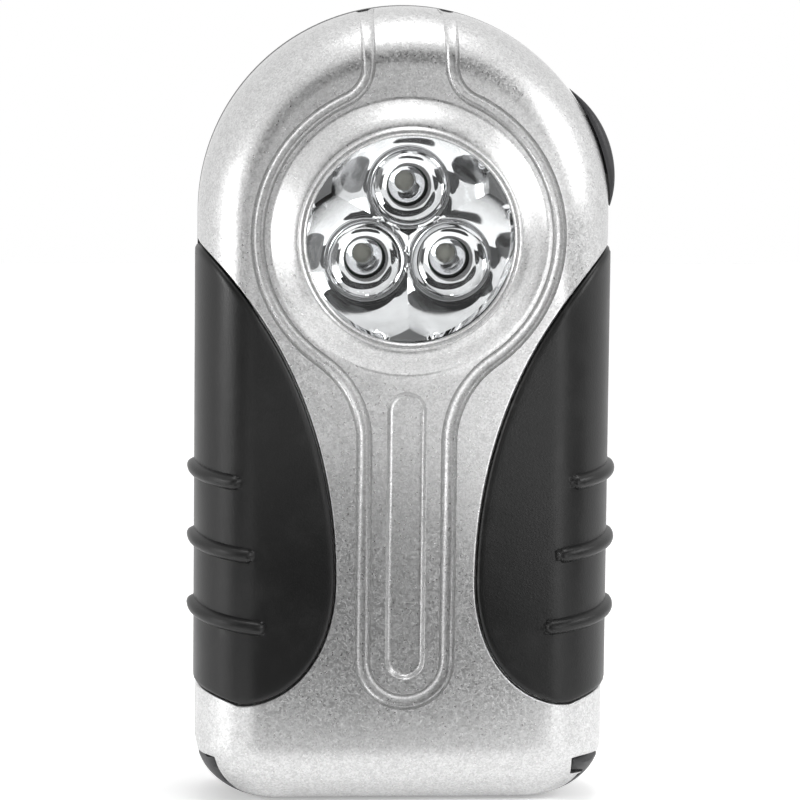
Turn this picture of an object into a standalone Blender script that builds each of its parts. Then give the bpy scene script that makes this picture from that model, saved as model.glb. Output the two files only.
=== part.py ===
"""A flat pocket LED torch, standing on its base.

Frame: X to the right as seen from the front, +Y towards the back, +Z up, metres.
The origin is the middle of the base. The front shell and the rear shell meet on a
plane near y = 0, and the lens looks along -Y.
"""
from math import acos, asin, atan2, cos, hypot, pi, sin, sqrt

import bmesh
import bpy
from mathutils import Vector

# Case: overall size and edge rounding
BODY_HEIGHT = 0.110
BODY_WIDTH = 0.0564
FRONT_DEPTH = 0.011
REAR_DEPTH = 0.011
SEAM_Y = 0.001
WALL = 0.0022
FRONT_EDGE_ACROSS = 0.008
FRONT_EDGE_DEPTH = 0.007
REAR_EDGE_ACROSS = 0.006
REAR_EDGE_DEPTH = 0.005
CORNER_ACROSS = 0.0112
CORNER_HEIGHT = 0.0085

# Clearances
GAP = 0.0003
FIT = 0.00035
OVERCUT = 0.003
WELD = 0.000004
ROOT = 0.0005

# Foot of the rear shell, wrapped under the front shell, and its corner tongue
FOOT_HEIGHT = 0.0066
FOOT_REACH = 0.0078
TONGUE_LENGTH = 0.0045
TONGUE_HEIGHT = 0.0019

# Bezel, lens and gasket; the lens axis lies a little below the centre of the round head
LENS_DROP = 0.0023
BEZEL_FOOT_RADIUS = 0.0190
BEZEL_LIP_RADIUS = 0.0152
BEZEL_RISE = 0.0035
LIP_THICKNESS = 0.0008
LIP_ROUND = 0.0005
APERTURE_RADIUS = 0.0141
LENS_RADIUS = 0.0147
LENS_THICKNESS = 0.0012
SLEEVE_WALL = 0.0012
SLEEVE_LENGTH = 0.0094
GASKET_THICKNESS = 0.0005
GASKET_WIDTH = 0.0004

# Reflector with three bowls, and the LEDs in its cups
REFLECTOR_WALL = 0.0004
FLANGE_THICKNESS = 0.0012
BOWL_CENTRE = 0.0066
BOWL_MOUTH_RADIUS = 0.0107
BOWL_DEPTH = 0.0034
CUP_RADIUS = 0.0053
CUP_LIP = 0.0004
CUP_WALL = 0.0006
BOWL_FLOOR = 0.0016
LED_RADIUS = 0.0025
LED_HEIGHT = 0.0086
LED_FLANGE_RADIUS = 0.0029
LED_FLANGE_HEIGHT = 0.0010
LED_SETBACK = 0.0008

# Circuit board, its screws and the resistor
BOARD_RADIUS = 0.0150
BOARD_THICKNESS = 0.0016
BOARD_FLAT = 0.0085
BOARD_SCREW_CIRCLE = 0.0188
BOARD_SCREW_ANGLE = -0.26
BOARD_SCREW_RADIUS = 0.0010
BOARD_HEAD_RADIUS = 0.0019
BOARD_HEAD_HEIGHT = 0.0012
BOARD_POST_RADIUS = 0.0022
BOARD_SCREW_LENGTH = 0.0055
RESISTOR_RADIUS = 0.0009
RESISTOR_LENGTH = 0.0060
RESISTOR_PITCH = 0.0090
RESISTOR_LEAD = 0.00025

# Keyhole groove round the bezel and down the neck, and the neck pocket
GROOVE_RING_RADIUS = 0.0207
GROOVE_WIDTH = 0.0021
GROOVE_DEPTH = 0.0007
CREST_HALF = 0.0057
CREST_FILLET = 0.0052
CREST_END = 0.0020
NECK_HALF = 0.0058
NECK_FILLET = 0.0140
NECK_BOTTOM = 0.0151
NOTCH_DEPTH = 0.0004
POCKET_DROP = 0.0212
POCKET_BOTTOM = 0.0183
POCKET_HALF = 0.00275
POCKET_DEPTH = 0.0008
POCKET_SLOPE = 0.0005

# Rubber grips: outline seen from the front, with its curves' handles as shares, and their beads
GRIP_TOP_DROP = 0.0040
GRIP_WAIST_HALF = 0.00955
GRIP_WAIST_HEIGHT = 0.0320
GRIP_BOTTOM = 0.0146
GRIP_HEEL_INSET = 0.0053
GRIP_HEEL_RISE = 0.0016
SHOULDER_ACROSS = 0.45
SHOULDER_DROP = 0.16
WAIST_ABOVE = 0.50
WAIST_BELOW = 0.57
HEEL_ACROSS = 0.60
GRIP_PROUD = 0.0004
GRIP_SEAT = 0.0012
BEAD_RADIUS = 0.0010
BEAD_TOP = 0.0466
BEAD_PITCH = 0.0096
BEAD_RUN = 0.0048
BEAD_RUN_STEP = 0.00165
BEAD_DROP = 0.0009
BEAD_DROP_STEP = 0.00045
BEADS = 3

# Thumb slider on the right edge; it travels along the edge's arc
KNOB_ANGLE = 0.33
KNOB_LENGTH = 0.0168
KNOB_CROWN_RADIUS = 0.0147
KNOB_WIDTH = 0.0076
KNOB_EDGE = 0.0007
KNOB_NECK_LENGTH = 0.0080
KNOB_NECK_WIDTH = 0.0040
KNOB_TRAVEL = 0.12
SHOE_THICKNESS = 0.0012
SHOE_LENGTH = 0.0100
SHOE_WIDTH = 0.0060
LEVER_LENGTH = 0.0008
LEVER_WIDTH = 0.0014
LEVER_PLAY = 0.0001
SWITCH_LENGTH = 0.0085
SWITCH_DEPTH = 0.0040
SWITCH_WIDTH = 0.0045

# Cells, springs, contact plates, tray and leads
CELLS = 3
CELL_RADIUS = 0.00525
CELL_LENGTH = 0.0445
NUB_RADIUS = 0.0019
NUB_LENGTH = 0.0009
CELL_BEVEL = 0.0006
CELL_PITCH = 0.0109
CELL_Y = 0.0032
SPRING_WIRE = 0.00035
SPRING_RADIUS = 0.0026
SPRING_LENGTH = 0.0052
SPRING_CURLS = 4
CURL_POINTS = 9
PLATE_THICKNESS = 0.0004
PLATE_HALF = 0.0040
TRAY_WALL = 0.0012
TRAY_BOTTOM = 0.0048
TRAY_FLOOR_GAP = 0.0004
CRADLE_FOOT = 0.0020
CRADLE_CREST = 0.0005
CRADLE_HEIGHT = 0.0012
CRADLE_END_GAP = 0.0090
RIB_THICKNESS = 0.0012
RIB_HALF_SPACING = 0.0120
WIRE_RADIUS = 0.0005
WIRE_BEND = 0.0010
PAD_DROP = 0.0070
PAD_X = 0.0060
EAR_PAD_INSET = 0.0025

# Battery door on the back
DOOR_HALF = 0.0172
DOOR_BOTTOM = 0.0090
DOOR_LAP = 0.0005
DOOR_CORNER = 0.0020
DOOR_FOOT_CORNER = 0.0006
TAB_X = 0.00545
TAB_HALF = 0.00125
TAB_DROP = 0.0024
TAB_RISE = 0.0026
TAB_THICKNESS = 0.0006
RIDGES = 4
RIDGE_HEIGHT = 0.0006
RIDGE_WIDTH = 0.0010
RIDGE_PITCH = 0.0021
RIDGE_HALF = 0.0055
THUMB_RADIUS = 0.0100
THUMB_DEPTH = 0.0011
NIB_HALF = 0.0030
NIB_RISE = 0.0009
NIB_THICKNESS = 0.0009

# Case screws, driven from the back into the front shell's bosses
LOWER_SCREW_Z = 0.0110
UPPER_SCREW_X = 0.0080
UPPER_SCREW_DROP = 0.0085
BOSS_RADIUS = 0.0028
SCREW_RADIUS = 0.0012
SCREW_HEAD_RADIUS = 0.0023
SCREW_HEAD_HEIGHT = 0.0016
SCREW_SETBACK = 0.0008
SCREW_BITE = 0.0040

# Places worked out from the sizes above
HALF_WIDTH = BODY_WIDTH / 2
HEAD_Z = BODY_HEIGHT - HALF_WIDTH
LENS_HEIGHT = HEAD_Z - LENS_DROP
POCKET_TOP = LENS_HEIGHT - POCKET_DROP
GRIP_TOP = HEAD_Z - GRIP_TOP_DROP
GRIP_HEEL_X = HALF_WIDTH - GRIP_HEEL_INSET
UPPER_SCREW_Z = BODY_HEIGHT - UPPER_SCREW_DROP
FRONT_Y = -FRONT_DEPTH
REAR_Y = REAR_DEPTH
LIP_Y = FRONT_Y - BEZEL_RISE
SEAT_Y = LIP_Y + LIP_THICKNESS
LENS_Y = SEAT_Y + GAP
LENS_BACK_Y = LENS_Y + LENS_THICKNESS
RIM_Y = LENS_BACK_Y + GAP
BOWL_FLOOR_Y = RIM_Y + BOWL_DEPTH
LED_TIP_Y = BOWL_FLOOR_Y + LED_SETBACK
LED_BASE_Y = LED_TIP_Y + LED_HEIGHT
BOARD_Y = LED_BASE_Y + GAP
BOARD_BACK_Y = BOARD_Y + BOARD_THICKNESS
BORE_RADIUS = LENS_RADIUS + GAP
DOOR_Y = REAR_Y - WALL
HINGE_Y = REAR_Y - WALL / 2
HINGE_Z = DOOR_BOTTOM + WALL / 2
TRAY_HALF = CELLS / 2 * CELL_PITCH + TRAY_WALL
LOWER_SCREW_X = TRAY_HALF + BOSS_RADIUS + 2 * GAP
TRAY_FLOOR_Y = CELL_Y - CELL_RADIUS - TRAY_FLOOR_GAP - TRAY_WALL
TRAY_RIM_Y = DOOR_Y - GAP
BAY_BOTTOM = TRAY_BOTTOM + TRAY_WALL
BAY_LENGTH = 2 * PLATE_THICKNESS + 5 * GAP + SPRING_LENGTH + CELL_LENGTH
BAY_TOP = BAY_BOTTOM + BAY_LENGTH
TRAY_TOP = BAY_TOP + TRAY_WALL
DOOR_TOP = BAY_TOP - DOOR_LAP


def clear_scene():
    for obj in list(bpy.data.objects):
        bpy.data.objects.remove(obj, do_unlink=True)


def material(name, colour, roughness, metallic=0.0, clear=False):
    """A Principled material, made once per name."""
    found = bpy.data.materials.get(name)
    if found:
        return found
    made = bpy.data.materials.new(name)
    made.use_nodes = True
    shader = made.node_tree.nodes["Principled BSDF"]
    shader.inputs["Base Color"].default_value = (*colour, 1.0)
    shader.inputs["Roughness"].default_value = roughness
    shader.inputs["Metallic"].default_value = metallic
    if clear:
        shader.inputs["Transmission Weight"].default_value = 1.0
    return made


def silver():
    return material("silver_paint", (0.60, 0.60, 0.60), 0.38, 0.75)


def charcoal():
    return material("charcoal_plastic", (0.035, 0.035, 0.038), 0.45)


def rubber():
    return material("black_rubber", (0.012, 0.012, 0.012), 0.6)


def chrome():
    return material("chrome", (0.85, 0.85, 0.87), 0.04, 1.0)


def nickel():
    return material("nickel", (0.62, 0.60, 0.56), 0.25, 1.0)


def steel():
    return material("screw_steel", (0.45, 0.45, 0.46), 0.35, 1.0)


def add_object(name, mesh, look, origin=(0.0, 0.0, 0.0), parent=None):
    """Link a mesh that is drawn in world places, with its object's origin at a chosen point."""
    place = Vector(origin)
    for vertex in mesh.vertices:
        vertex.co -= place
    obj = bpy.data.objects.new(name, mesh)
    bpy.context.collection.objects.link(obj)
    if parent:
        obj.parent = parent
        place = place - parent.location
    obj.location = place
    if look:
        mesh.materials.clear()
        mesh.materials.append(look)
    return obj


def finish_mesh(shape, name="shape"):
    """Close a bmesh into a mesh with its faces pointing out."""
    bmesh.ops.recalc_face_normals(shape, faces=shape.faces)
    mesh = bpy.data.meshes.new(name)
    shape.to_mesh(mesh)
    shape.free()
    return mesh


def smooth(mesh, degrees=35):
    mesh.shade_smooth()
    mesh.set_sharp_from_angle(angle=degrees * pi / 180)
    return mesh


def loft(rings, closed=False):
    """Skin rings of equal point counts; the ends are capped, or joined when closed."""
    shape = bmesh.new()
    rows = [[shape.verts.new(point) for point in ring] for ring in rings]
    count = len(rows[0])
    pairs = list(zip(rows, rows[1:]))
    if closed:
        pairs.append((rows[-1], rows[0]))
    for lower, upper in pairs:
        for i in range(count):
            j = (i + 1) % count
            shape.faces.new((lower[i], lower[j], upper[j], upper[i]))
    if not closed:
        shape.faces.new(rows[0][::-1])
        shape.faces.new(rows[-1])
    return finish_mesh(shape)


def prism(outline, front, back):
    """A straight block along Y over an outline of (x, z) points."""
    return loft([[(x, front, z) for x, z in outline], [(x, back, z) for x, z in outline]])


def slab(outline, left, right):
    """A straight block along X over an outline of (y, z) points."""
    return loft([[(left, y, z) for y, z in outline], [(right, y, z) for y, z in outline]])


def box(x0, x1, y0, y1, z0, z1):
    return prism([(x0, z0), (x1, z0), (x1, z1), (x0, z1)], y0, y1)


def circle(x, z, radius, count):
    return [(x + radius * cos(2 * pi * i / count), z + radius * sin(2 * pi * i / count))
            for i in range(count)]


def rod(x, z, radius, front, back, count=16):
    """A round bar along Y."""
    return prism(circle(x, z, radius, count), front, back)


def turned(profile, x, z, count):
    """Turn a closed (radius, y) profile about the line along Y through (x, z)."""
    shape = bmesh.new()
    rows = []
    for radius, y in profile:
        if radius < 1e-7:
            rows.append([shape.verts.new((x, y, z))])
        else:
            rows.append([shape.verts.new((px, y, pz)) for px, pz in circle(x, z, radius, count)])
    for lower, upper in zip(rows, rows[1:] + rows[:1]):
        if len(lower) == 1 and len(upper) == 1:
            continue
        for i in range(count):
            j = (i + 1) % count
            corners = [lower[i % len(lower)], lower[j % len(lower)],
                       upper[j % len(upper)], upper[i % len(upper)]]
            shape.faces.new(list(dict.fromkeys(corners)))
    return finish_mesh(shape)


def combine(base, tool, operation):
    """Boolean two meshes and give the result as a new mesh."""
    first = add_object("base_shape", base, None)
    second = add_object("tool_shape", tool, None)
    step = first.modifiers.new("step", "BOOLEAN")
    step.operation = operation
    step.solver = "EXACT"
    step.object = second
    graph = bpy.context.evaluated_depsgraph_get()
    result = bpy.data.meshes.new_from_object(first.evaluated_get(graph))
    bpy.data.objects.remove(first, do_unlink=True)
    bpy.data.objects.remove(second, do_unlink=True)
    return without_slivers(result)


def without_slivers(mesh):
    """Merge corners that a cut left closer together than WELD."""
    shape = bmesh.new()
    shape.from_mesh(mesh)
    bmesh.ops.remove_doubles(shape, verts=shape.verts, dist=WELD)
    bmesh.ops.dissolve_degenerate(shape, edges=shape.edges, dist=WELD)
    shape.to_mesh(mesh)
    shape.free()
    return mesh


def cut(base, *tools):
    for tool in tools:
        base = combine(base, tool, "DIFFERENCE")
    return base


def join(base, *tools):
    for tool in tools:
        base = combine(base, tool, "UNION")
    return base


def keep(base, tool):
    return combine(base, tool, "INTERSECT")


def arc(x, z, radius, start, end, steps):
    """Points along an arc, both ends included; angles in radians."""
    return [(x + radius * cos(start + (end - start) * i / steps),
             z + radius * sin(start + (end - start) * i / steps)) for i in range(steps + 1)]


def oval_arc(x, z, across, up, start, end, steps):
    return [(x + across * cos(start + (end - start) * i / steps),
             z + up * sin(start + (end - start) * i / steps)) for i in range(steps + 1)]


def body_outline(inset):
    """The case seen from the front, drawn in by an inset: flat base, two corners, round head."""
    half = HALF_WIDTH - inset
    corner_x = HALF_WIDTH - CORNER_ACROSS
    across = CORNER_ACROSS - inset
    up = CORNER_HEIGHT - inset
    right = oval_arc(corner_x, CORNER_HEIGHT, across, up, -pi / 2, 0, 8)
    head = arc(0, HEAD_Z, half, 0, pi, 30)
    left = [(-x, z) for x, z in reversed(right)]
    return right + head + left


def edge_rings(face_y, inward, across, depth, seam, offset, steps=5):
    """Rings of a rounded half of the case, from its face to its seam plane."""
    rings = []
    for i in range(steps + 1):
        turn = pi / 2 * i / steps
        inset = offset + (across - offset) * (1 - sin(turn))
        y = face_y + inward * (offset + (depth - offset) * (1 - cos(turn)))
        rings.append([(x, y, z) for x, z in body_outline(inset)])
    rings.append([(x, seam, z) for x, z in body_outline(offset)])
    return rings


def body_solid(offset):
    """The whole case as a closed solid, drawn in by an offset on every side."""
    front = edge_rings(FRONT_Y, 1, FRONT_EDGE_ACROSS, FRONT_EDGE_DEPTH, SEAM_Y, offset)
    rear = edge_rings(REAR_Y, -1, REAR_EDGE_ACROSS, REAR_EDGE_DEPTH, SEAM_Y, offset)
    return loft(front + rear[-2::-1])


def case_wall():
    """The hollow case before it is split into shells."""
    return cut(body_solid(0.0), body_solid(WALL))


def front_y_at(x, z):
    """Depth of the front surface over a point on the head or the straight sides."""
    if z > HEAD_Z:
        inset = HALF_WIDTH - hypot(x, z - HEAD_Z)
    else:
        inset = HALF_WIDTH - abs(x)
    lean = min(1.0, max(0.0, 1 - inset / FRONT_EDGE_ACROSS))
    return FRONT_Y + FRONT_EDGE_DEPTH * (1 - cos(asin(lean)))


def front_side(clearance):
    """The space of the front shell: ahead of the seam, and ahead of the foot below it."""
    top = BODY_HEIGHT + OVERCUT
    ahead = FRONT_Y - OVERCUT
    profile = [(ahead, -OVERCUT), (-FOOT_REACH - clearance, -OVERCUT),
               (-FOOT_REACH - clearance, FOOT_HEIGHT + clearance),
               (SEAM_Y - clearance, FOOT_HEIGHT + clearance), (SEAM_Y - clearance, top),
               (ahead, top)]
    return slab(profile, -HALF_WIDTH - OVERCUT, HALF_WIDTH + OVERCUT)


def tongue_block(clearance):
    """The corner tongue: it runs forward from the foot's upper right edge."""
    return box(HALF_WIDTH - TONGUE_LENGTH - clearance, HALF_WIDTH + OVERCUT,
               FRONT_Y - OVERCUT, -FOOT_REACH + ROOT,
               FOOT_HEIGHT - TONGUE_HEIGHT - clearance, FOOT_HEIGHT + clearance)


def rear_side():
    """The space of the rear shell, with its foot and tongue."""
    room = box(-HALF_WIDTH - 2 * OVERCUT, HALF_WIDTH + 2 * OVERCUT, FRONT_Y - 2 * OVERCUT,
               REAR_Y + OVERCUT, -2 * OVERCUT, BODY_HEIGHT + 2 * OVERCUT)
    return join(cut(room, front_side(0.0)), tongue_block(0.0))


def bezel_ring():
    """The raised cone, its rounded lip, the lens seat and the sleeve behind it."""
    slope = (BEZEL_FOOT_RADIUS - BEZEL_LIP_RADIUS) / (BEZEL_RISE - LIP_ROUND)
    rounding = [(BEZEL_LIP_RADIUS - LIP_ROUND + LIP_ROUND * cos(turn),
                 LIP_Y + LIP_ROUND - LIP_ROUND * sin(turn)) for turn in (0, pi / 4, pi / 2)]
    profile = [(BEZEL_FOOT_RADIUS + ROOT * slope, FRONT_Y + ROOT)] + rounding + [
        (APERTURE_RADIUS + LIP_ROUND / 2, LIP_Y),
        (APERTURE_RADIUS, LIP_Y + LIP_ROUND / 2),
        (APERTURE_RADIUS, SEAT_Y),
        (BORE_RADIUS, SEAT_Y),
        (BORE_RADIUS, LIP_Y + SLEEVE_LENGTH),
        (BORE_RADIUS + SLEEVE_WALL, LIP_Y + SLEEVE_LENGTH),
        (BORE_RADIUS + SLEEVE_WALL, FRONT_Y + ROOT)]
    return turned(profile, 0, LENS_HEIGHT, 40)


def groove_half():
    """Centre line of the right half of the keyhole groove, from the crest to the neck's foot."""
    ring = GROOVE_RING_RADIUS
    crest_x = CREST_HALF + CREST_FILLET
    crest_z = LENS_HEIGHT + sqrt((ring + CREST_FILLET) ** 2 - crest_x ** 2)
    neck_x = NECK_HALF + NECK_FILLET
    neck_z = LENS_HEIGHT - sqrt((ring + NECK_FILLET) ** 2 - neck_x ** 2)
    upper = atan2(crest_z - LENS_HEIGHT, crest_x)
    lower = atan2(neck_z - LENS_HEIGHT, neck_x)
    end_z = HEAD_Z + sqrt(HALF_WIDTH ** 2 - CREST_HALF ** 2) - CREST_END
    path = [(CREST_HALF, end_z - (end_z - crest_z) * i / 5) for i in range(5)]
    path += arc(crest_x, crest_z, CREST_FILLET, pi, pi + upper, 5)
    path += arc(0, LENS_HEIGHT, ring, upper, lower, 20)[1:]
    path += arc(neck_x, neck_z, NECK_FILLET, lower + pi, pi, 7)[1:]
    path += arc(0, NECK_BOTTOM + NECK_HALF, NECK_HALF, 0, -pi / 2, 6)
    return path


def groove_cutter():
    """A ribbon along the keyhole path whose floor follows the front surface."""
    right = groove_half()
    path = right + [(-x, z) for x, z in reversed(right[:-1])]
    rings = []
    for i, (x, z) in enumerate(path):
        before = path[max(i - 1, 0)]
        after = path[min(i + 1, len(path) - 1)]
        run = Vector((after[0] - before[0], after[1] - before[1])).normalized()
        out_x = run.y * GROOVE_WIDTH / 2
        out_z = -run.x * GROOVE_WIDTH / 2
        floor = front_y_at(x, z) + GROOVE_DEPTH
        top = FRONT_Y - OVERCUT
        rings.append([(x - out_x, top, z - out_z), (x - out_x, floor, z - out_z),
                      (x + out_x, floor, z + out_z), (x + out_x, top, z + out_z)])
    return loft(rings)


def crest_notch(side):
    """A shallow notch over the crest, in line with a groove."""
    half = GROOVE_WIDTH / 2
    crown = HEAD_Z + sqrt(HALF_WIDTH ** 2 - CREST_HALF ** 2)
    return box(side * CREST_HALF - half, side * CREST_HALF + half,
               FRONT_Y + FRONT_EDGE_DEPTH - half, SEAM_Y + OVERCUT,
               crown - NOTCH_DEPTH, crown + OVERCUT)


def stadium(half, bottom, top):
    return arc(0, top - half, half, 0, pi, 10) + arc(0, bottom + half, half, pi, 2 * pi, 10)


def pocket_cutter():
    """The long pocket in the neck, with sloping walls."""
    levels = [(FRONT_Y - POCKET_DEPTH, -POCKET_SLOPE), (FRONT_Y + POCKET_DEPTH, POCKET_SLOPE)]
    return loft([[(x, y, z) for x, z in stadium(POCKET_HALF - inset, POCKET_BOTTOM + inset,
                                                POCKET_TOP - inset)] for y, inset in levels])


def bezier(start, first, second, end, steps):
    points = []
    for i in range(steps + 1):
        t = i / steps
        u = 1 - t
        points.append(tuple(u ** 3 * a + 3 * u * u * t * b + 3 * u * t * t * c + t ** 3 * d
                            for a, b, c, d in zip(start, first, second, end)))
    return points


def grip_outline(side):
    """A grip seen from the front: a long S from the side to the waist and back to the side."""
    top = (HALF_WIDTH, GRIP_TOP)
    waist = (GRIP_WAIST_HALF, GRIP_WAIST_HEIGHT)
    heel = (GRIP_HEEL_X, GRIP_BOTTOM)
    drop = GRIP_TOP - GRIP_WAIST_HEIGHT
    lift = GRIP_WAIST_HEIGHT - GRIP_BOTTOM
    reach = HALF_WIDTH - GRIP_WAIST_HALF
    upper = bezier(top, (top[0] - SHOULDER_ACROSS * reach, top[1] - SHOULDER_DROP * drop),
                   (waist[0], waist[1] + WAIST_ABOVE * drop), waist, 16)
    lower = bezier(waist, (waist[0], waist[1] - WAIST_BELOW * lift),
                   (heel[0] - HEEL_ACROSS * (heel[0] - waist[0]), heel[1]), heel, 9)
    outer = HALF_WIDTH + OVERCUT
    path = [(outer, top[1] + OVERCUT)] + upper + lower[1:]
    path += [(HALF_WIDTH, GRIP_BOTTOM + GRIP_HEEL_RISE), (outer, GRIP_BOTTOM + 2 * GRIP_HEEL_RISE)]
    return [(side * x, z) for x, z in path]


def drawn_in(outline, distance):
    """An outline moved inwards by a distance, corner by corner."""
    area = sum(a[0] * b[1] - b[0] * a[1] for a, b in zip(outline, outline[1:] + outline[:1]))
    turn = 1 if area > 0 else -1
    moved = []
    count = len(outline)
    for i in range(count):
        before = Vector(outline[i - 1])
        here = Vector(outline[i])
        after = Vector(outline[(i + 1) % count])
        first = (here - before).normalized()
        second = (after - here).normalized()
        normal = Vector((-first.y - second.y, first.x + second.x)).normalized() * turn
        spread = max(0.5, normal.dot(Vector((-first.y, first.x)) * turn))
        point = here + normal * distance / spread
        moved.append((point.x, point.y))
    return moved


def grip_recess(side):
    """What a grip takes out of the front shell's wall."""
    skin = cut(body_solid(-OVERCUT / 2), body_solid(GRIP_SEAT))
    block = prism(grip_outline(side), FRONT_Y - 2 * OVERCUT, SEAM_Y + OVERCUT)
    return keep(skin, block)


def screw_places():
    return [(-LOWER_SCREW_X, LOWER_SCREW_Z), (LOWER_SCREW_X, LOWER_SCREW_Z),
            (-UPPER_SCREW_X, UPPER_SCREW_Z), (UPPER_SCREW_X, UPPER_SCREW_Z)]


def board_screw_places():
    """Two board screws, on one line through the lens axis."""
    return [(BOARD_SCREW_CIRCLE * cos(turn), LENS_HEIGHT + BOARD_SCREW_CIRCLE * sin(turn))
            for turn in (BOARD_SCREW_ANGLE + pi, BOARD_SCREW_ANGLE)]


def edge_slot():
    """The curved slot of the slider's neck, shared by both shells."""
    half = (KNOB_NECK_LENGTH / 2 + 2 * GAP) / HALF_WIDTH
    half_width = KNOB_NECK_WIDTH / 2 + FIT
    inner = HALF_WIDTH - WALL - OVERCUT / 2
    outer = HALF_WIDTH + OVERCUT
    start = KNOB_ANGLE - half
    end = KNOB_ANGLE + half + KNOB_TRAVEL
    outline = arc(0, HEAD_Z, outer, start, end, 8) + arc(0, HEAD_Z, inner, end, start, 8)
    return prism(outline, SEAM_Y - half_width, SEAM_Y + half_width)


def build_front_shell(parent):
    body = keep(case_wall(), front_side(GAP / 2))
    wall_back = FRONT_Y + WALL + OVERCUT
    body = cut(body, rod(0, LENS_HEIGHT, BORE_RADIUS + SLEEVE_WALL / 2, FRONT_Y - OVERCUT, wall_back, 40))
    body = join(body, bezel_ring())
    body = cut(body, tongue_block(GAP), groove_cutter(), pocket_cutter())
    body = cut(body, crest_notch(-1), crest_notch(1), grip_recess(-1), grip_recess(1))
    boss_start = FRONT_Y + WALL - ROOT
    for x, z in screw_places():
        body = join(body, rod(x, z, BOSS_RADIUS, boss_start, SEAM_Y - GAP / 2))
        body = cut(body, rod(x, z, SCREW_RADIUS + GAP, SEAM_Y - SCREW_BITE - 2 * GAP, SEAM_Y + OVERCUT, 12))
    for x, z in board_screw_places():
        body = join(body, rod(x, z, BOARD_POST_RADIUS, boss_start, BOARD_Y - GAP))
        body = cut(body, rod(x, z, BOARD_SCREW_RADIUS + GAP, BOARD_Y - BOARD_SCREW_LENGTH - GAP, BOARD_Y, 12))
    for side in (-1, 1):
        rib_x = side * RIB_HALF_SPACING
        body = join(body, box(rib_x - RIB_THICKNESS / 2, rib_x + RIB_THICKNESS / 2, boss_start,
                              TRAY_FLOOR_Y - GAP, CORNER_HEIGHT, BAY_TOP - CORNER_HEIGHT))
    body = cut(body, edge_slot())
    add_object("front_shell", smooth(body), silver(), parent=parent)


def door_outline(clearance):
    """The door's outline, or its opening's; the foot's tight corners let it tilt in its frame."""
    quarter = pi / 2
    half = DOOR_HALF + clearance
    bottom = DOOR_BOTTOM - clearance
    top = DOOR_TOP + clearance
    foot = DOOR_FOOT_CORNER + clearance
    head = DOOR_CORNER + clearance
    return (arc(half - foot, bottom + foot, foot, -quarter, 0, 3)
            + arc(half - head, top - head, head, 0, quarter, 4)
            + arc(-half + head, top - head, head, quarter, 2 * quarter, 4)
            + arc(-half + foot, bottom + foot, foot, 2 * quarter, 3 * quarter, 3))


def thumb_scoop():
    """The shallow round dip above the battery door."""
    ball_y = REAR_Y - THUMB_DEPTH + THUMB_RADIUS
    steps = 8
    profile = [(THUMB_RADIUS * sin(pi * i / steps), ball_y - THUMB_RADIUS * cos(pi * i / steps))
               for i in range(steps + 1)]
    return turned(profile, 0, DOOR_TOP + FIT, 24)


def build_rear_shell(parent):
    body = keep(case_wall(), rear_side())
    seam = slab([(SEAM_Y - OVERCUT, FOOT_HEIGHT), (SEAM_Y + GAP / 2, FOOT_HEIGHT),
                 (SEAM_Y + GAP / 2, BODY_HEIGHT + OVERCUT), (SEAM_Y - OVERCUT, BODY_HEIGHT + OVERCUT)],
                -HALF_WIDTH - OVERCUT, HALF_WIDTH + OVERCUT)
    body = cut(body, seam)
    for x, z in screw_places():
        body = join(body, rod(x, z, BOSS_RADIUS + GAP, SEAM_Y + GAP / 2, REAR_Y - WALL + ROOT))
    opening = prism(door_outline(FIT), REAR_Y - WALL - OVERCUT, REAR_Y + OVERCUT)
    nib_room = box(-NIB_HALF - FIT, NIB_HALF + FIT, REAR_Y - WALL - OVERCUT, REAR_Y + OVERCUT,
                   DOOR_TOP, DOOR_TOP + NIB_RISE + FIT)
    body = cut(body, opening, nib_room, thumb_scoop())
    seat = REAR_Y - SCREW_SETBACK - SCREW_HEAD_HEIGHT - GAP
    for x, z in screw_places():
        body = cut(body, rod(x, z, SCREW_HEAD_RADIUS + GAP, seat, REAR_Y + OVERCUT),
                   rod(x, z, SCREW_RADIUS + GAP, SEAM_Y - OVERCUT, REAR_Y, 12))
    body = cut(body, edge_slot())
    add_object("rear_shell", smooth(body), charcoal(), parent=parent)


def grip_bead(side, row):
    """One round bead: it wraps from the side onto the front and drops a little on the way."""
    side_x = HALF_WIDTH + GRIP_PROUD
    across = FRONT_EDGE_ACROSS + GRIP_PROUD
    run = BEAD_RUN + BEAD_RUN_STEP * row
    drop = BEAD_DROP + BEAD_DROP_STEP * row
    last_turn = acos(max(0.0, 1 - run / across))
    steps = 7
    start_y = SEAM_Y - BEAD_RADIUS - GAP
    points = [Vector((side * side_x, start_y, BEAD_TOP - BEAD_PITCH * row))]
    for i in range(steps + 1):
        turn = last_turn * i / steps
        x = side_x - across * (1 - cos(turn))
        y = FRONT_Y - GRIP_PROUD + (FRONT_EDGE_DEPTH + GRIP_PROUD) * (1 - sin(turn))
        points.append(Vector((side * x, y, points[0].z - drop * i / steps)))
    return tube_mesh(points, BEAD_RADIUS, 10)


def tube_mesh(points, radius, sides):
    """A tube along points, its ends rounded by two rings of these shares of its radius."""
    tips = (0.35, 0.8)
    first = (points[1] - points[0]).normalized()
    last = (points[-1] - points[-2]).normalized()
    stations = [(points[0] - first * radius * sqrt(1 - t * t), first, t) for t in tips]
    for i, point in enumerate(points):
        run = points[min(i + 1, len(points) - 1)] - points[max(i - 1, 0)]
        stations.append((point, run.normalized(), 1.0))
    stations += [(points[-1] + last * radius * sqrt(1 - t * t), last, t) for t in reversed(tips)]
    rings = []
    for centre, run, share in stations:
        up = (Vector((0, 0, 1)) - run * run.z).normalized()
        across = run.cross(up)
        rings.append([centre + (across * cos(2 * pi * i / sides) + up * sin(2 * pi * i / sides))
                      * radius * share for i in range(sides)])
    return loft(rings)


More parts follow.
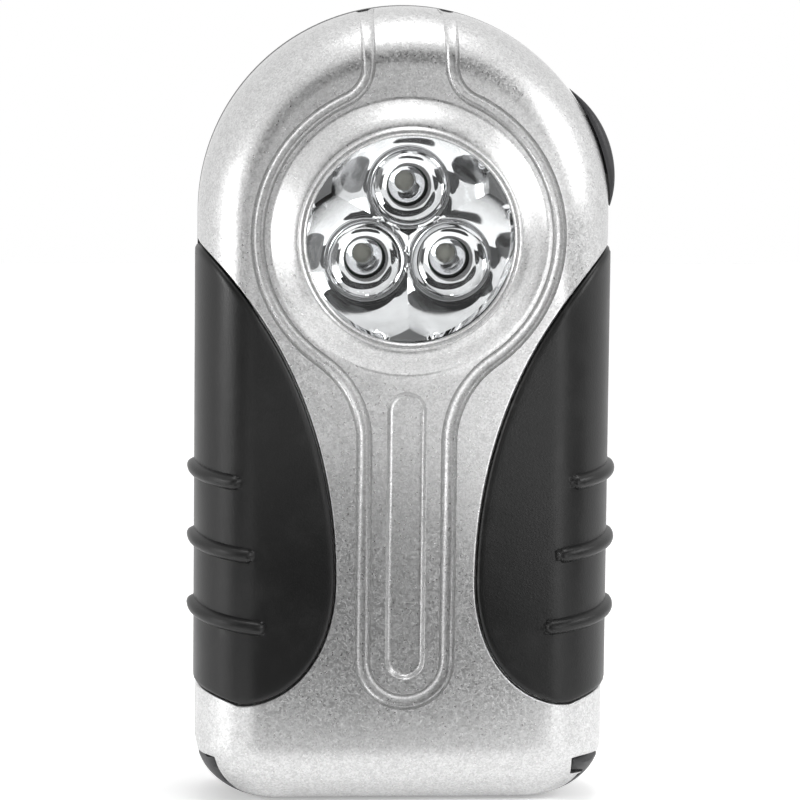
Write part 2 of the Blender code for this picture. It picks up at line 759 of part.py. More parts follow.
def build_grip(name, side, parent):
    """A rubber pad seated in its recess, standing a little proud of the case."""
    skin = cut(body_solid(-GRIP_PROUD), body_solid(GRIP_SEAT - GAP))
    outline = drawn_in(grip_outline(side), GAP)
    block = prism(outline, FRONT_Y - 2 * OVERCUT, SEAM_Y - GAP / 2)
    pad = keep(skin, block)
    for row in range(BEADS):
        pad = join(pad, grip_bead(side, row))
    add_object(name, smooth(pad), rubber(), parent=parent)


def build_lens(parent):
    crown = LENS_THICKNESS / 4
    profile = [(0, LENS_Y), (LENS_RADIUS - crown, LENS_Y), (LENS_RADIUS, LENS_Y + crown),
               (LENS_RADIUS, LENS_BACK_Y), (0, LENS_BACK_Y)]
    look = material("clear_lens", (0.95, 0.96, 0.97), 0.03, clear=True)
    add_object("lens", smooth(turned(profile, 0, LENS_HEIGHT, 40)), look, parent=parent)


def build_gasket(parent):
    """A flat ring between the lens and the reflector's flange."""
    front = LENS_BACK_Y + GAP
    outer = LENS_RADIUS
    inner = outer - GASKET_WIDTH
    profile = [(inner, front), (outer, front), (outer, front + GASKET_THICKNESS),
               (inner, front + GASKET_THICKNESS)]
    add_object("lens_gasket", smooth(turned(profile, 0, LENS_HEIGHT, 32)), rubber(), parent=parent)


def bowl_places():
    """Axes of the three bowls: one above the lens axis and two below."""
    return [(BOWL_CENTRE * cos(turn), LENS_HEIGHT + BOWL_CENTRE * sin(turn))
            for turn in (pi / 2, pi / 2 + 2 * pi / 3, pi / 2 + 4 * pi / 3)]


def bowl_cutter(x, z):
    """One bowl: a shallow paraboloid down to the cup's lip."""
    inner = CUP_RADIUS + CUP_LIP
    steps = 4
    sink = BOWL_DEPTH / (BOWL_MOUTH_RADIUS ** 2 - inner ** 2)
    profile = [(0, BOWL_FLOOR_Y)]
    for i in range(steps + 1):
        radius = inner + (BOWL_MOUTH_RADIUS - inner) * i / steps
        profile.append((radius, BOWL_FLOOR_Y - sink * (radius ** 2 - inner ** 2)))
    profile += [(BOWL_MOUTH_RADIUS, RIM_Y - OVERCUT), (0, RIM_Y - OVERCUT)]
    return turned(profile, x, z, 28)


def cup_cutter(x, z):
    """The deep cup round one LED, with the LED's hole and flange seat behind it."""
    hole = LED_RADIUS + GAP
    seat_y = LED_BASE_Y - LED_FLANGE_HEIGHT - GAP
    depth = seat_y - 2 * LED_FLANGE_HEIGHT - BOWL_FLOOR_Y
    steps = 4
    profile = [(0, BOWL_FLOOR_Y - OVERCUT), (CUP_RADIUS, BOWL_FLOOR_Y - OVERCUT)]
    for i in range(steps + 1):
        share = i / steps
        radius = hole + (CUP_RADIUS - hole) * sqrt(1 - share)
        profile.append((radius, BOWL_FLOOR_Y + depth * share))
    seat = LED_FLANGE_RADIUS + GAP
    profile += [(hole, seat_y), (seat, seat_y), (seat, LED_BASE_Y + OVERCUT), (0, LED_BASE_Y + OVERCUT)]
    return turned(profile, x, z, 22)


def build_reflector(parent):
    """Three bowls pressed into one round moulding, with a cup stub behind each."""
    rim = APERTURE_RADIUS
    flange = LENS_RADIUS
    flange_y = LENS_BACK_Y + 2 * GAP + GASKET_THICKNESS
    plate_y = BOWL_FLOOR_Y + BOWL_FLOOR
    profile = [(0, RIM_Y), (rim, RIM_Y), (rim, flange_y), (flange, flange_y),
               (flange, flange_y + FLANGE_THICKNESS), (rim, flange_y + FLANGE_THICKNESS),
               (rim, plate_y), (0, plate_y)]
    body = turned(profile, 0, LENS_HEIGHT, 40)
    for x, z in bowl_places():
        body = join(body, rod(x, z, CUP_RADIUS + CUP_WALL, plate_y - ROOT, LED_BASE_Y, 22))
    dish = rod(0, LENS_HEIGHT, rim - REFLECTOR_WALL, RIM_Y - 2 * OVERCUT, BOWL_FLOOR_Y + ROOT, 40)
    bowls = [bowl_cutter(x, z) for x, z in bowl_places()]
    body = cut(body, keep(join(*bowls), dish))
    for x, z in bowl_places():
        body = cut(body, cup_cutter(x, z))
    add_object("reflector", smooth(body), chrome(), parent=parent)


def build_leds(parent):
    look = material("led_epoxy", (0.93, 0.94, 0.96), 0.08, clear=True)
    steps = 4
    for number, (x, z) in enumerate(bowl_places(), start=1):
        dome = [(LED_RADIUS * sin(pi / 2 * i / steps),
                 LED_TIP_Y + LED_RADIUS * (1 - cos(pi / 2 * i / steps))) for i in range(steps + 1)]
        flange_y = LED_BASE_Y - LED_FLANGE_HEIGHT
        profile = dome + [(LED_RADIUS, flange_y), (LED_FLANGE_RADIUS, flange_y),
                          (LED_FLANGE_RADIUS, LED_BASE_Y), (0, LED_BASE_Y)]
        add_object(f"led_{number}", smooth(turned(profile, x, z, 16)), look, parent=parent)


def switch_frame():
    """Outward and along-the-edge directions at the slider, in the front view."""
    return (cos(KNOB_ANGLE), sin(KNOB_ANGLE)), (-sin(KNOB_ANGLE), cos(KNOB_ANGLE))


def edge_block(inner, outer, length, y0, y1):
    """A straight block at the slider's place, between two radii from the head's centre."""
    out, along = switch_frame()
    half = length / 2
    corners = [(inner, -half), (outer, -half), (outer, half), (inner, half)]
    outline = [(out[0] * r + along[0] * s, HEAD_Z + out[1] * r + along[1] * s) for r, s in corners]
    return prism(outline, y0, y1)


def switch_radii():
    """Radii from the head's centre of the shoe's inner face and the switch's two faces."""
    shoe_inner = HALF_WIDTH - WALL - GAP - SHOE_THICKNESS
    switch_outer = shoe_inner - LEVER_LENGTH
    return shoe_inner, switch_outer, switch_outer - SWITCH_DEPTH


def board_bar():
    """A bar with round ends across the board, from one screw to the other."""
    half = BOARD_POST_RADIUS + GAP
    turn = BOARD_SCREW_ANGLE + pi
    outline = stadium(half, -BOARD_SCREW_CIRCLE - half, BOARD_SCREW_CIRCLE + half)
    turned_outline = [(z * cos(turn) + x * sin(turn), LENS_HEIGHT + z * sin(turn) - x * cos(turn))
                      for x, z in outline]
    return prism(turned_outline, BOARD_Y, BOARD_BACK_Y)


def build_board(parent):
    """The round board with its lower flat, a bar with a screw at each end, and the switch's ear."""
    board = rod(0, LENS_HEIGHT, BOARD_RADIUS, BOARD_Y, BOARD_BACK_Y, 32)
    flat = LENS_HEIGHT - BOARD_FLAT
    board = cut(board, box(-BOARD_RADIUS, BOARD_RADIUS, BOARD_Y - OVERCUT, BOARD_BACK_Y + OVERCUT,
                           flat - BOARD_RADIUS, flat))
    outer = switch_radii()[1]
    ear = edge_block(BOARD_RADIUS - 2 * ROOT - LENS_DROP, outer, SWITCH_LENGTH, BOARD_Y, BOARD_BACK_Y)
    board = join(board, board_bar(), ear)
    for x, z in board_screw_places():
        board = cut(board, rod(x, z, BOARD_SCREW_RADIUS + GAP, BOARD_Y - OVERCUT, BOARD_BACK_Y + OVERCUT, 12))
    look = material("board_green", (0.03, 0.16, 0.07), 0.4)
    add_object("led_board", smooth(board), look, parent=parent)


def build_resistor(parent):
    """An axial resistor across the back of the board, on two bent leads."""
    z = LENS_HEIGHT
    y = BOARD_BACK_Y + RESISTOR_RADIUS + 2 * GAP
    half = RESISTOR_PITCH / 2
    body = turned([(0, -RESISTOR_LENGTH / 2), (RESISTOR_RADIUS, -RESISTOR_LENGTH / 2),
                   (RESISTOR_RADIUS, RESISTOR_LENGTH / 2), (0, RESISTOR_LENGTH / 2)], 0, 0, 12)
    for vertex in body.vertices:
        vertex.co = Vector((vertex.co.y, y - vertex.co.x, z + vertex.co.z))
    foot = BOARD_BACK_Y + GAP
    lead = RESISTOR_LEAD
    bar = box(-half, half, y - lead, y + lead, z - lead, z + lead)
    legs = [box(side * half - lead, side * half + lead, foot, y + lead, z - lead, z + lead)
            for side in (-1, 1)]
    look = material("resistor_tan", (0.55, 0.40, 0.24), 0.45)
    add_object("resistor", smooth(join(body, bar, *legs)), look, parent=parent)


def screw_mesh(x, z, head_y, head_radius, head_height, shank_radius, tip_y):
    """A pan head screw pointing to -Y."""
    seat = head_y - head_height
    edge = head_height / 3
    profile = [(0, head_y), (head_radius - edge, head_y), (head_radius, head_y - edge),
               (head_radius, seat), (shank_radius, seat), (shank_radius, tip_y + shank_radius),
               (0, tip_y)]
    return turned(profile, x, z, 14)


def build_screws(parent):
    for number, (x, z) in enumerate(screw_places(), start=1):
        mesh = screw_mesh(x, z, REAR_Y - SCREW_SETBACK, SCREW_HEAD_RADIUS, SCREW_HEAD_HEIGHT,
                          SCREW_RADIUS, SEAM_Y - SCREW_BITE)
        add_object(f"case_screw_{number}", smooth(mesh), steel(), (x, SEAM_Y, z), parent)
    head_y = BOARD_BACK_Y + GAP + BOARD_HEAD_HEIGHT
    for number, (x, z) in enumerate(board_screw_places(), start=1):
        mesh = screw_mesh(x, z, head_y, BOARD_HEAD_RADIUS, BOARD_HEAD_HEIGHT,
                          BOARD_SCREW_RADIUS, BOARD_Y - BOARD_SCREW_LENGTH)
        add_object(f"board_screw_{number}", smooth(mesh), steel(), (x, BOARD_Y, z), parent)


def build_switch_body(parent):
    outer, inner = switch_radii()[1:]
    front = BOARD_Y - GAP - SWITCH_WIDTH
    block = edge_block(inner, outer - GAP, SWITCH_LENGTH, front, BOARD_Y - GAP)
    look = material("switch_black", (0.02, 0.02, 0.02), 0.35)
    add_object("switch_body", block, look, parent=parent)


def knob_cap(ride):
    """The crowned cap: a turned dome whose underside follows the case's edge."""
    half = KNOB_LENGTH / 2
    centre = sqrt(ride ** 2 - half ** 2) - sqrt(KNOB_CROWN_RADIUS ** 2 - half ** 2)
    out = switch_frame()[0]
    side = KNOB_WIDTH / 2
    profile = [(0, SEAM_Y - side)]
    profile += [(KNOB_CROWN_RADIUS - sink, SEAM_Y - y) for sink, y in reversed(edge_round())]
    profile += [(KNOB_CROWN_RADIUS - sink, SEAM_Y + y) for sink, y in edge_round()]
    profile += [(0, SEAM_Y + side)]
    dome = turned(profile, out[0] * centre, HEAD_Z + out[1] * centre, 72)
    return cut(dome, rod(0, HEAD_Z, ride, SEAM_Y - KNOB_WIDTH, SEAM_Y + KNOB_WIDTH, 96))


def edge_round():
    """Sink below the crown and distance from the middle, from the crown out to its edge."""
    side = KNOB_WIDTH / 2
    return [(KNOB_EDGE * (1 - cos(turn)), side - KNOB_EDGE * (1 - sin(turn)))
            for turn in (0, pi / 6, pi / 3, pi / 2)]


def build_slider(parent):
    """The thumb knob and the shoe behind its neck, both turning about the head's centre."""
    ride = HALF_WIDTH + GAP
    neck_half = KNOB_NECK_LENGTH / 2 / HALF_WIDTH
    shoe_outer = HALF_WIDTH - WALL - GAP
    neck_outline = (arc(0, HEAD_Z, ride + ROOT, KNOB_ANGLE - neck_half, KNOB_ANGLE + neck_half, 6)
                    + arc(0, HEAD_Z, shoe_outer + GAP, KNOB_ANGLE + neck_half, KNOB_ANGLE - neck_half, 6))
    neck = prism(neck_outline, SEAM_Y - KNOB_NECK_WIDTH / 2, SEAM_Y + KNOB_NECK_WIDTH / 2)
    centre = (0.0, SEAM_Y, HEAD_Z)
    pivot = bpy.data.objects.new("slider_pivot", None)
    bpy.context.collection.objects.link(pivot)
    pivot.location = centre
    pivot.parent = parent
    add_object("switch_knob", smooth(join(knob_cap(ride), neck)), charcoal(), centre, pivot)
    add_object("switch_shoe", smooth(shoe_mesh(shoe_outer)), charcoal(), centre, pivot)


def shoe_mesh(outer):
    """A curved plate against the case's inner wall, with the lever that works the switch."""
    inner, switch_outer, _ = switch_radii()
    half = SHOE_LENGTH / 2 / HALF_WIDTH
    outline = (arc(0, HEAD_Z, outer, KNOB_ANGLE - half, KNOB_ANGLE + half, 8)
               + arc(0, HEAD_Z, inner, KNOB_ANGLE + half, KNOB_ANGLE - half, 8))
    plate = prism(outline, SEAM_Y - SHOE_WIDTH / 2, SEAM_Y + SHOE_WIDTH / 2)
    lever_y = BOARD_Y - GAP - SWITCH_WIDTH / 2
    lever = edge_block(switch_outer + LEVER_PLAY, inner + ROOT, LEVER_WIDTH, lever_y - LEVER_WIDTH / 2,
                       lever_y + LEVER_WIDTH / 2)
    return join(plate, lever)


def cell_places():
    """Middle lines of the three cells, and whether each stands with its nub up."""
    return [(-CELL_PITCH, True), (0.0, False), (CELL_PITCH, True)]


def cell_span(nub_up):
    """Lower and upper end of a cell; its spring presses on the flat end."""
    lower = BAY_BOTTOM + PLATE_THICKNESS + 2 * GAP
    if nub_up:
        lower += SPRING_LENGTH + GAP
    return lower, lower + CELL_LENGTH


def stand_up(mesh, x, y, z):
    """Turn a shape drawn along +Y at the origin to stand along +Z at a point."""
    for vertex in mesh.vertices:
        vertex.co = Vector((x + vertex.co.x, y - vertex.co.z, z + vertex.co.y))
    return mesh


def build_cells(parent):
    look = material("cell_jacket", (0.10, 0.10, 0.11), 0.3, 0.3)
    shoulder = CELL_LENGTH - NUB_LENGTH
    half = [(0, 0), (CELL_RADIUS - CELL_BEVEL, 0), (CELL_RADIUS, CELL_BEVEL),
            (CELL_RADIUS, shoulder - CELL_BEVEL), (CELL_RADIUS - CELL_BEVEL, shoulder),
            (NUB_RADIUS, shoulder), (NUB_RADIUS, CELL_LENGTH), (0, CELL_LENGTH)]
    for number, (x, nub_up) in enumerate(cell_places(), start=1):
        profile = half if nub_up else [(radius, CELL_LENGTH - along) for radius, along in half]
        lower = cell_span(nub_up)[0]
        mesh = stand_up(turned(profile, 0, 0, 20), x, CELL_Y, lower)
        add_object(f"cell_{number}", smooth(mesh), look, (x, CELL_Y, lower), parent)


def spring_points(x, bottom):
    """A helix with a flat first and last curl, from the plate to the cell."""
    turns = SPRING_CURLS * CURL_POINTS
    rise = SPRING_LENGTH - 2 * SPRING_WIRE
    return [Vector((x + SPRING_RADIUS * cos(2 * pi * i / CURL_POINTS),
                    CELL_Y + SPRING_RADIUS * sin(2 * pi * i / CURL_POINTS),
                    bottom + SPRING_WIRE + rise * i / turns)) for i in range(turns + 1)]


def add_tube(name, points, radius, look, resolution, parent):
    """A round wire through points, as a bevelled curve with filled caps."""
    curve = bpy.data.curves.new(name, "CURVE")
    curve.dimensions = "3D"
    curve.bevel_depth = radius
    curve.bevel_resolution = resolution
    curve.use_fill_caps = True
    line = curve.splines.new("POLY")
    line.points.add(len(points) - 1)
    for slot, point in zip(line.points, points):
        slot.co = (*point, 1.0)
    obj = bpy.data.objects.new(name, curve)
    bpy.context.collection.objects.link(obj)
    curve.materials.append(look)
    obj.parent = parent
    return obj


def build_springs(parent):
    least = 1.0
    for number, (x, nub_up) in enumerate(cell_places(), start=1):
        lower, upper = cell_span(nub_up)
        bottom = lower - GAP - SPRING_LENGTH if nub_up else upper + GAP
        points = spring_points(x, bottom)
        for i, point in enumerate(points):
            for other in points[i + CURL_POINTS // 2:]:
                least = min(least, (point - other).length - 2 * SPRING_WIRE)
        add_tube(f"contact_spring_{number}", points, SPRING_WIRE, nickel(), 1, parent)
    print(f"springs: least gap between curls {least * 1000:.2f} mm")


def build_plates(parent):
    """Four contact plates on the tray's end walls: two terminals and two bridges."""
    reach = CELL_PITCH / 2 - 2 * GAP
    bottom = BAY_BOTTOM + GAP
    top = BAY_TOP - GAP - PLATE_THICKNESS
    spans = {
        "bottom_bridge": (-CELL_PITCH - reach + GAP, reach, bottom),
        "bottom_terminal": (CELL_PITCH - reach, CELL_PITCH + reach - GAP, bottom),
        "top_terminal": (-CELL_PITCH - reach + GAP, -CELL_PITCH + reach, top),
        "top_bridge": (-reach, CELL_PITCH + reach - GAP, top),
    }
    for name, (left, right, z) in spans.items():
        mesh = box(left, right, CELL_Y - PLATE_HALF, CELL_Y + PLATE_HALF, z, z + PLATE_THICKNESS)
        add_object(name, mesh, nickel(), parent=parent)


def build_tray(parent):
    """An open box for the three cells, with low cradles on its floor."""
    tray = box(-TRAY_HALF, TRAY_HALF, TRAY_FLOOR_Y, TRAY_RIM_Y, TRAY_BOTTOM, TRAY_TOP)
    inner = TRAY_HALF - TRAY_WALL
    floor = TRAY_FLOOR_Y + TRAY_WALL
    tray = cut(tray, box(-inner, inner, floor, TRAY_RIM_Y + OVERCUT, BAY_BOTTOM, BAY_TOP))
    cut_half = TAB_HALF + 2 * FIT
    for side in (-1, 1):
        middle = side * CELL_PITCH / 2
        profile = [(-CRADLE_FOOT / 2, -ROOT), (CRADLE_FOOT / 2, -ROOT),
                   (CRADLE_CREST / 2, CRADLE_HEIGHT), (-CRADLE_CREST / 2, CRADLE_HEIGHT)]
        cradle = loft([[(middle + x, floor + y, z) for x, y in profile]
                       for z in (BAY_BOTTOM + CRADLE_END_GAP, BAY_TOP - CRADLE_END_GAP)])
        tray = join(tray, cradle)
        notch = box(side * TAB_X - cut_half, side * TAB_X + cut_half, DOOR_Y - OVERCUT,
                    TRAY_RIM_Y + OVERCUT, TRAY_BOTTOM - OVERCUT, BAY_BOTTOM + OVERCUT)
        tray = cut(tray, notch)
    look = material("tray_plastic", (0.06, 0.06, 0.065), 0.5)
    add_object("battery_tray", tray, look, parent=parent)


def build_door(parent):
    """The battery door: a round lower edge, tuck tabs, a catch nib and finger ridges."""
    radius = WALL / 2
    plate = prism(door_outline(0.0), DOOR_Y, REAR_Y)
    side_view = [(HINGE_Y + radius * cos(pi * i / 8), HINGE_Z - radius * sin(pi * i / 8)) for i in range(9)]
    top = DOOR_TOP + OVERCUT
    side_view += [(HINGE_Y - radius, top), (HINGE_Y + radius, top)]
    door = keep(plate, slab(side_view, -DOOR_HALF - OVERCUT, DOOR_HALF + OVERCUT))
    door = join(door, box(-NIB_HALF, NIB_HALF, DOOR_Y, DOOR_Y + NIB_THICKNESS,
                          DOOR_TOP - ROOT, DOOR_TOP + NIB_RISE))
    tab_back = DOOR_Y - GAP
    for side in (-1, 1):
        left = side * TAB_X - TAB_HALF
        right = side * TAB_X + TAB_HALF
        tab = box(left, right, tab_back - TAB_THICKNESS, tab_back, HINGE_Z - TAB_DROP, HINGE_Z + TAB_RISE)
        root = box(left, right, tab_back - TAB_THICKNESS / 2, DOOR_Y + ROOT, HINGE_Z, HINGE_Z + TAB_RISE)
        door = join(door, join(tab, root))
    for row in range(RIDGES):
        z = DOOR_TOP - 2 * RIDGE_PITCH - row * RIDGE_PITCH
        profile = [(REAR_Y - ROOT, z - RIDGE_WIDTH / 2), (REAR_Y + RIDGE_HEIGHT, z - RIDGE_WIDTH / 5),
                   (REAR_Y + RIDGE_HEIGHT, z + RIDGE_WIDTH / 5), (REAR_Y - ROOT, z + RIDGE_WIDTH / 2)]
        door = join(door, slab(profile, -RIDGE_HALF, RIDGE_HALF))
    add_object("battery_door", smooth(door), charcoal(), (0.0, HINGE_Y, HINGE_Z), parent)


def smooth_route(points, steps=3):
    """Points of a smooth curve through a route's own points."""
    route = [Vector(point) for point in points]
    path = []
    for i in range(len(route) - 1):
        before = route[max(i - 1, 0)]
        start, end = route[i], route[i + 1]
        after = route[min(i + 2, len(route) - 1)]
        for k in range(steps):
            t = k / steps
            path.append(0.5 * (2 * start + (end - before) * t
                               + (2 * before - 5 * start + 4 * end - after) * t * t
                               + (3 * start - before - 3 * end + after) * t ** 3))
    path.append(route[-1])
    return path


def build_wires(parent):
    """Leads from the tray's outer terminals: one to the switch's ear, one to the board's front."""
    red = material("wire_red", (0.45, 0.02, 0.02), 0.4)
    black = material("wire_black", (0.02, 0.02, 0.02), 0.4)
    room = WIRE_RADIUS + GAP
    behind = BOARD_BACK_Y + room
    ahead = BOARD_Y - room
    pad_z = LENS_HEIGHT - PAD_DROP
    tray_top = TRAY_TOP + room
    out = switch_frame()[0]
    ear = switch_radii()[2] - EAR_PAD_INSET
    positive = [(-CELL_PITCH - 2 * WIRE_BEND, behind + WIRE_BEND, tray_top),
                (-CELL_PITCH, behind + WIRE_BEND, tray_top + WIRE_BEND / 2),
                (-PAD_X, behind + WIRE_BEND, (tray_top + pad_z) / 2),
                (PAD_X, behind + WIRE_BEND, LENS_HEIGHT - PAD_DROP / 2),
                (out[0] * ear, behind, HEAD_Z + out[1] * ear)]
    under = TRAY_FLOOR_Y - room
    negative = [(CELL_PITCH, under, TRAY_BOTTOM + 4 * WIRE_BEND),
                (CELL_PITCH / 2, under, TRAY_BOTTOM + 8 * WIRE_BEND),
                (0, under, (TRAY_BOTTOM + TRAY_TOP) / 2),
                (0, under, TRAY_TOP - 4 * WIRE_BEND),
                (0, under, TRAY_TOP + GAP),
                (0, (under + ahead) / 2, TRAY_TOP + 2 * WIRE_BEND),
                (0, ahead, pad_z)]
    add_tube("wire_positive", smooth_route(positive), WIRE_RADIUS, red, 1, parent)
    add_tube("wire_negative", smooth_route(negative, 4), WIRE_RADIUS, black, 1, parent)


def main():
    clear_scene()
    root = bpy.data.objects.new("torch", None)
    bpy.context.collection.objects.link(root)
    build_front_shell(root)
    build_rear_shell(root)
    build_grip("left_grip", -1, root)
    build_grip("right_grip", 1, root)
    build_lens(root)
    build_gasket(root)
    build_reflector(root)
    build_leds(root)
    build_board(root)
    build_resistor(root)
    build_screws(root)
    build_switch_body(root)
    build_slider(root)
    build_tray(root)
    build_cells(root)
    build_springs(root)
    build_plates(root)
    build_wires(root)
    build_door(root)


main()
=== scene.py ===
"""Looks of the flat pocket LED torch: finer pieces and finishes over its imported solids.

Frame: metres, +X to the right as seen from the front, +Y towards the back, +Z up. A flat point is (x, z).
"""
from math import acos, asin, atan2, cos, hypot, pi, radians, sin, sqrt

import bmesh
import bpy
import numpy as np
from bpy.props import FloatProperty, FloatVectorProperty, PointerProperty
from mathutils import Matrix, Vector
from mathutils.geometry import delaunay_2d_cdt
from mathutils.kdtree import KDTree


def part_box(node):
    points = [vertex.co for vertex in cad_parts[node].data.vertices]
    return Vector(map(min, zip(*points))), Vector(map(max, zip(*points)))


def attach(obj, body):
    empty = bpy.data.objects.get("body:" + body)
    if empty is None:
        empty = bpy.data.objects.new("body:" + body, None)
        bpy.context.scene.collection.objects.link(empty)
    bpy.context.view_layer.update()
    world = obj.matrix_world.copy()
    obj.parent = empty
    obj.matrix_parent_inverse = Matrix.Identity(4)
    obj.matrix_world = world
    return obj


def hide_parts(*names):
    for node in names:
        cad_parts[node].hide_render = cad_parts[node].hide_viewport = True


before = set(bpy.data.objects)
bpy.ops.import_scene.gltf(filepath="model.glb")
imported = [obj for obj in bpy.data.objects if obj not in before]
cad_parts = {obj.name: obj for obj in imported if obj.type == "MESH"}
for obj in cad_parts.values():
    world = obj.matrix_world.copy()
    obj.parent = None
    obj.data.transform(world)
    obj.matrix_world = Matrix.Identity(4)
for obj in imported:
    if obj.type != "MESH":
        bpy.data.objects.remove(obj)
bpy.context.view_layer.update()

bl_info = {
    "name": "Pocket torch",
    "version": (1, 0, 0),
    "blender": (4, 5, 0),
    "location": "View3D > Sidebar > Torch",
    "description": "Builds the pieces and finishes of a flat pocket LED torch",
    "category": "Add Mesh",
}

# Case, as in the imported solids
HALF_WIDTH = 0.0282
HEIGHT = 0.110
HEAD_Z = HEIGHT - HALF_WIDTH
FRONT_Y = -0.011
REAR_Y = 0.011
SEAM_Y = 0.001
WALL = 0.0022
BACK_INNER_Y = REAR_Y - WALL
CORNER_ACROSS = 0.0112
CORNER_UP = 0.0085
CORNER_X = HALF_WIDTH - CORNER_ACROSS
GAP = 0.0003

# Lens axis, bezel and lens seat
LENS_Z = 0.0795
BEZEL_FOOT = 0.0190
BEZEL_LIP = 0.0152
BEZEL_RISE = 0.0035
APERTURE = 0.0141
SEAT_Y = FRONT_Y - BEZEL_RISE + 0.0008
LENS_RADIUS = 0.0147
LENS_FRONT_Y = -0.0134
LENS_BACK_Y = -0.0122

# Reflector and LEDs
RIM_Y = -0.0119
BOWL_FLOOR_Y = -0.0085
BOWL_CENTRE = 0.0066
BOWL_MOUTH = 0.0107
CUP_RADIUS = 0.0053
CUP_LIP = 0.0004
CUP_DEPTH = 0.0013
LED_HOLE = 0.0028
LED_RADIUS = 0.0025
LED_TIP_Y = -0.0077
LED_BASE_Y = 0.0009
BOWL_AXES = [(BOWL_CENTRE * cos(t), LENS_Z + BOWL_CENTRE * sin(t))
             for t in (pi / 2, pi / 2 + 2 * pi / 3, pi / 2 + 4 * pi / 3)]

# Neck pocket: half width, foot and top
POCKET = (0.00275, 0.0183, 0.0583)

# Foot of the rear shell and its corner tongue
FOOT_TOP = 0.0066
TONGUE_X = 0.0237
TONGUE_LOW = 0.0047

# Thumb slider
KNOB_ANGLE = 0.33
KNOB_TRAVEL = 0.12
SLOT_HALF = 0.0046 / HALF_WIDTH
SLOT_Y = 0.00235

# Back: door clearance, case screws, thumb scoop and the pressed ring round the lens axis
DOOR_GAP = 0.00035
DOOR_TOP = 0.0575
SCREWS = [(-0.02095, 0.0110), (0.02095, 0.0110), (-0.0080, 0.1015), (0.0080, 0.1015)]
SCREW_HOLE = 0.0026
SCOOP_Z = 0.05785
SCOOP_RADIUS = 0.0046
SCOOP_DEPTH = 0.0011
BACK_RING = 0.0150
BACK_RING_DEPTH = 0.0004
RIDGE_HEIGHT = 0.0006
RIDGE_PITCH = 0.0021
RIDGE_END_X = 0.0053
LINE_HALF = 0.0005
LINE_SIDES = (-LINE_HALF, -0.00035, -0.0002, 0, 0.0002, 0.00035, LINE_HALF)
SOFT_EDGE = ((0, 0.0001, 0.0003), (0.00016, 0.00004, 0))

# Side grips: clearance to their seats, and the beads' rows
GRIP_GAP = 0.00022
SEAT_STEPS = ((-0.00018, -0.0001, -0.00003, 0, 0.00006), (0, 0.00003, 0.0001, 0.00025, 0.0012))
BEAD_ROWS = range(3)
# The top bead's measure and the step to each bead below it
BEAD_REACH = (0.0048, 0.00165)
BEAD_TOP = (0.0466, -0.0096)
BEAD_DROP = (0.0009, 0.00045)
BEAD_ROOM = 0.0014
PAD_DEPTH = 0.0007


class CaseHalf:
    """One rounded half of the case, and how its skin unrolls into a flat sheet."""

    def __init__(self, face_y, inward, across, depth):
        self.face_y = face_y
        self.inward = inward
        self.across = across
        self.depth = depth
        self.turns = np.linspace(0, pi / 2, 200)
        run = np.hypot(np.diff(across * np.sin(self.turns)), np.diff(depth * (1 - np.cos(self.turns))))
        self.runs = np.concatenate(([0], np.cumsum(run)))
        self.length = self.runs[-1]

    def lay(self, flat):
        """Places and outward normals on the case for points of the flat sheet."""
        u, v = flat.T
        inset = inset_at(u, v)
        run = self.across - inset
        turn = np.interp(run, self.runs, self.turns)
        on_face = run <= 0
        new = np.where(on_face, inset, self.across * (1 - np.sin(turn)))
        x, z, nx, nz = slide(u, v, inset, new)
        past = np.maximum(run - self.length, 0)
        y = self.face_y + self.inward * (self.depth * (1 - np.cos(turn)) + past)
        side = self.depth * np.sin(turn)
        ahead = np.where(past > 0, 0.0, self.across * np.cos(turn))
        size = np.hypot(side, ahead)
        normals = np.stack((nx * side / size, -self.inward * ahead / size, nz * side / size), 1)
        return np.stack((np.where(on_face, u, x), y, np.where(on_face, v, z)), 1), normals

    def unroll(self, points):
        """Flat places of points seen from the front or the back."""
        u, v = np.array(points, float).T
        inset = inset_at(u, v)
        turn = np.arcsin(np.clip(1 - inset / self.across, 0, 1))
        run = np.interp(turn, self.turns, self.runs)
        x, z, _, _ = slide(u, v, inset, self.across - run)
        near = inset < self.across
        return np.stack((np.where(near, x, u), np.where(near, z, v)), 1)

    def raised(self, flat, faces, relief):
        """A mesh of the sheet laid on the case, standing out by relief(places)."""
        places, normals = self.lay(flat)
        return shape_from(places + normals * relief(places)[:, None], faces)


FRONT = CaseHalf(FRONT_Y, 1, 0.008, 0.0095)
REAR = CaseHalf(REAR_Y, -1, 0.006, 0.0092)


def front_run(seam_y):
    """How far the front skin runs from the edge of its flat face to the seam."""
    return FRONT.length + (seam_y - FRONT_Y) - FRONT.depth


def inset_at(x, z):
    """How far inside the case's outline a point lies; beyond the outline it is negative."""
    across = np.abs(x)
    inset = np.where(z > HEAD_Z, HALF_WIDTH - np.hypot(across, z - HEAD_Z), HALF_WIDTH - across)
    low = z < CORNER_UP
    inset = np.where(low & (across <= CORNER_X), z, inset)
    least = np.full(across.shape, -0.03)
    most = np.full(across.shape, CORNER_UP - 1e-7)
    for _ in range(40):
        middle = (least + most) / 2
        outside = (((across - CORNER_X) / (CORNER_ACROSS - middle)) ** 2
                   + ((CORNER_UP - z) / (CORNER_UP - middle)) ** 2) > 1
        most = np.where(outside, middle, most)
        least = np.where(outside, least, middle)
    return np.where(low & (across > CORNER_X), middle, inset)


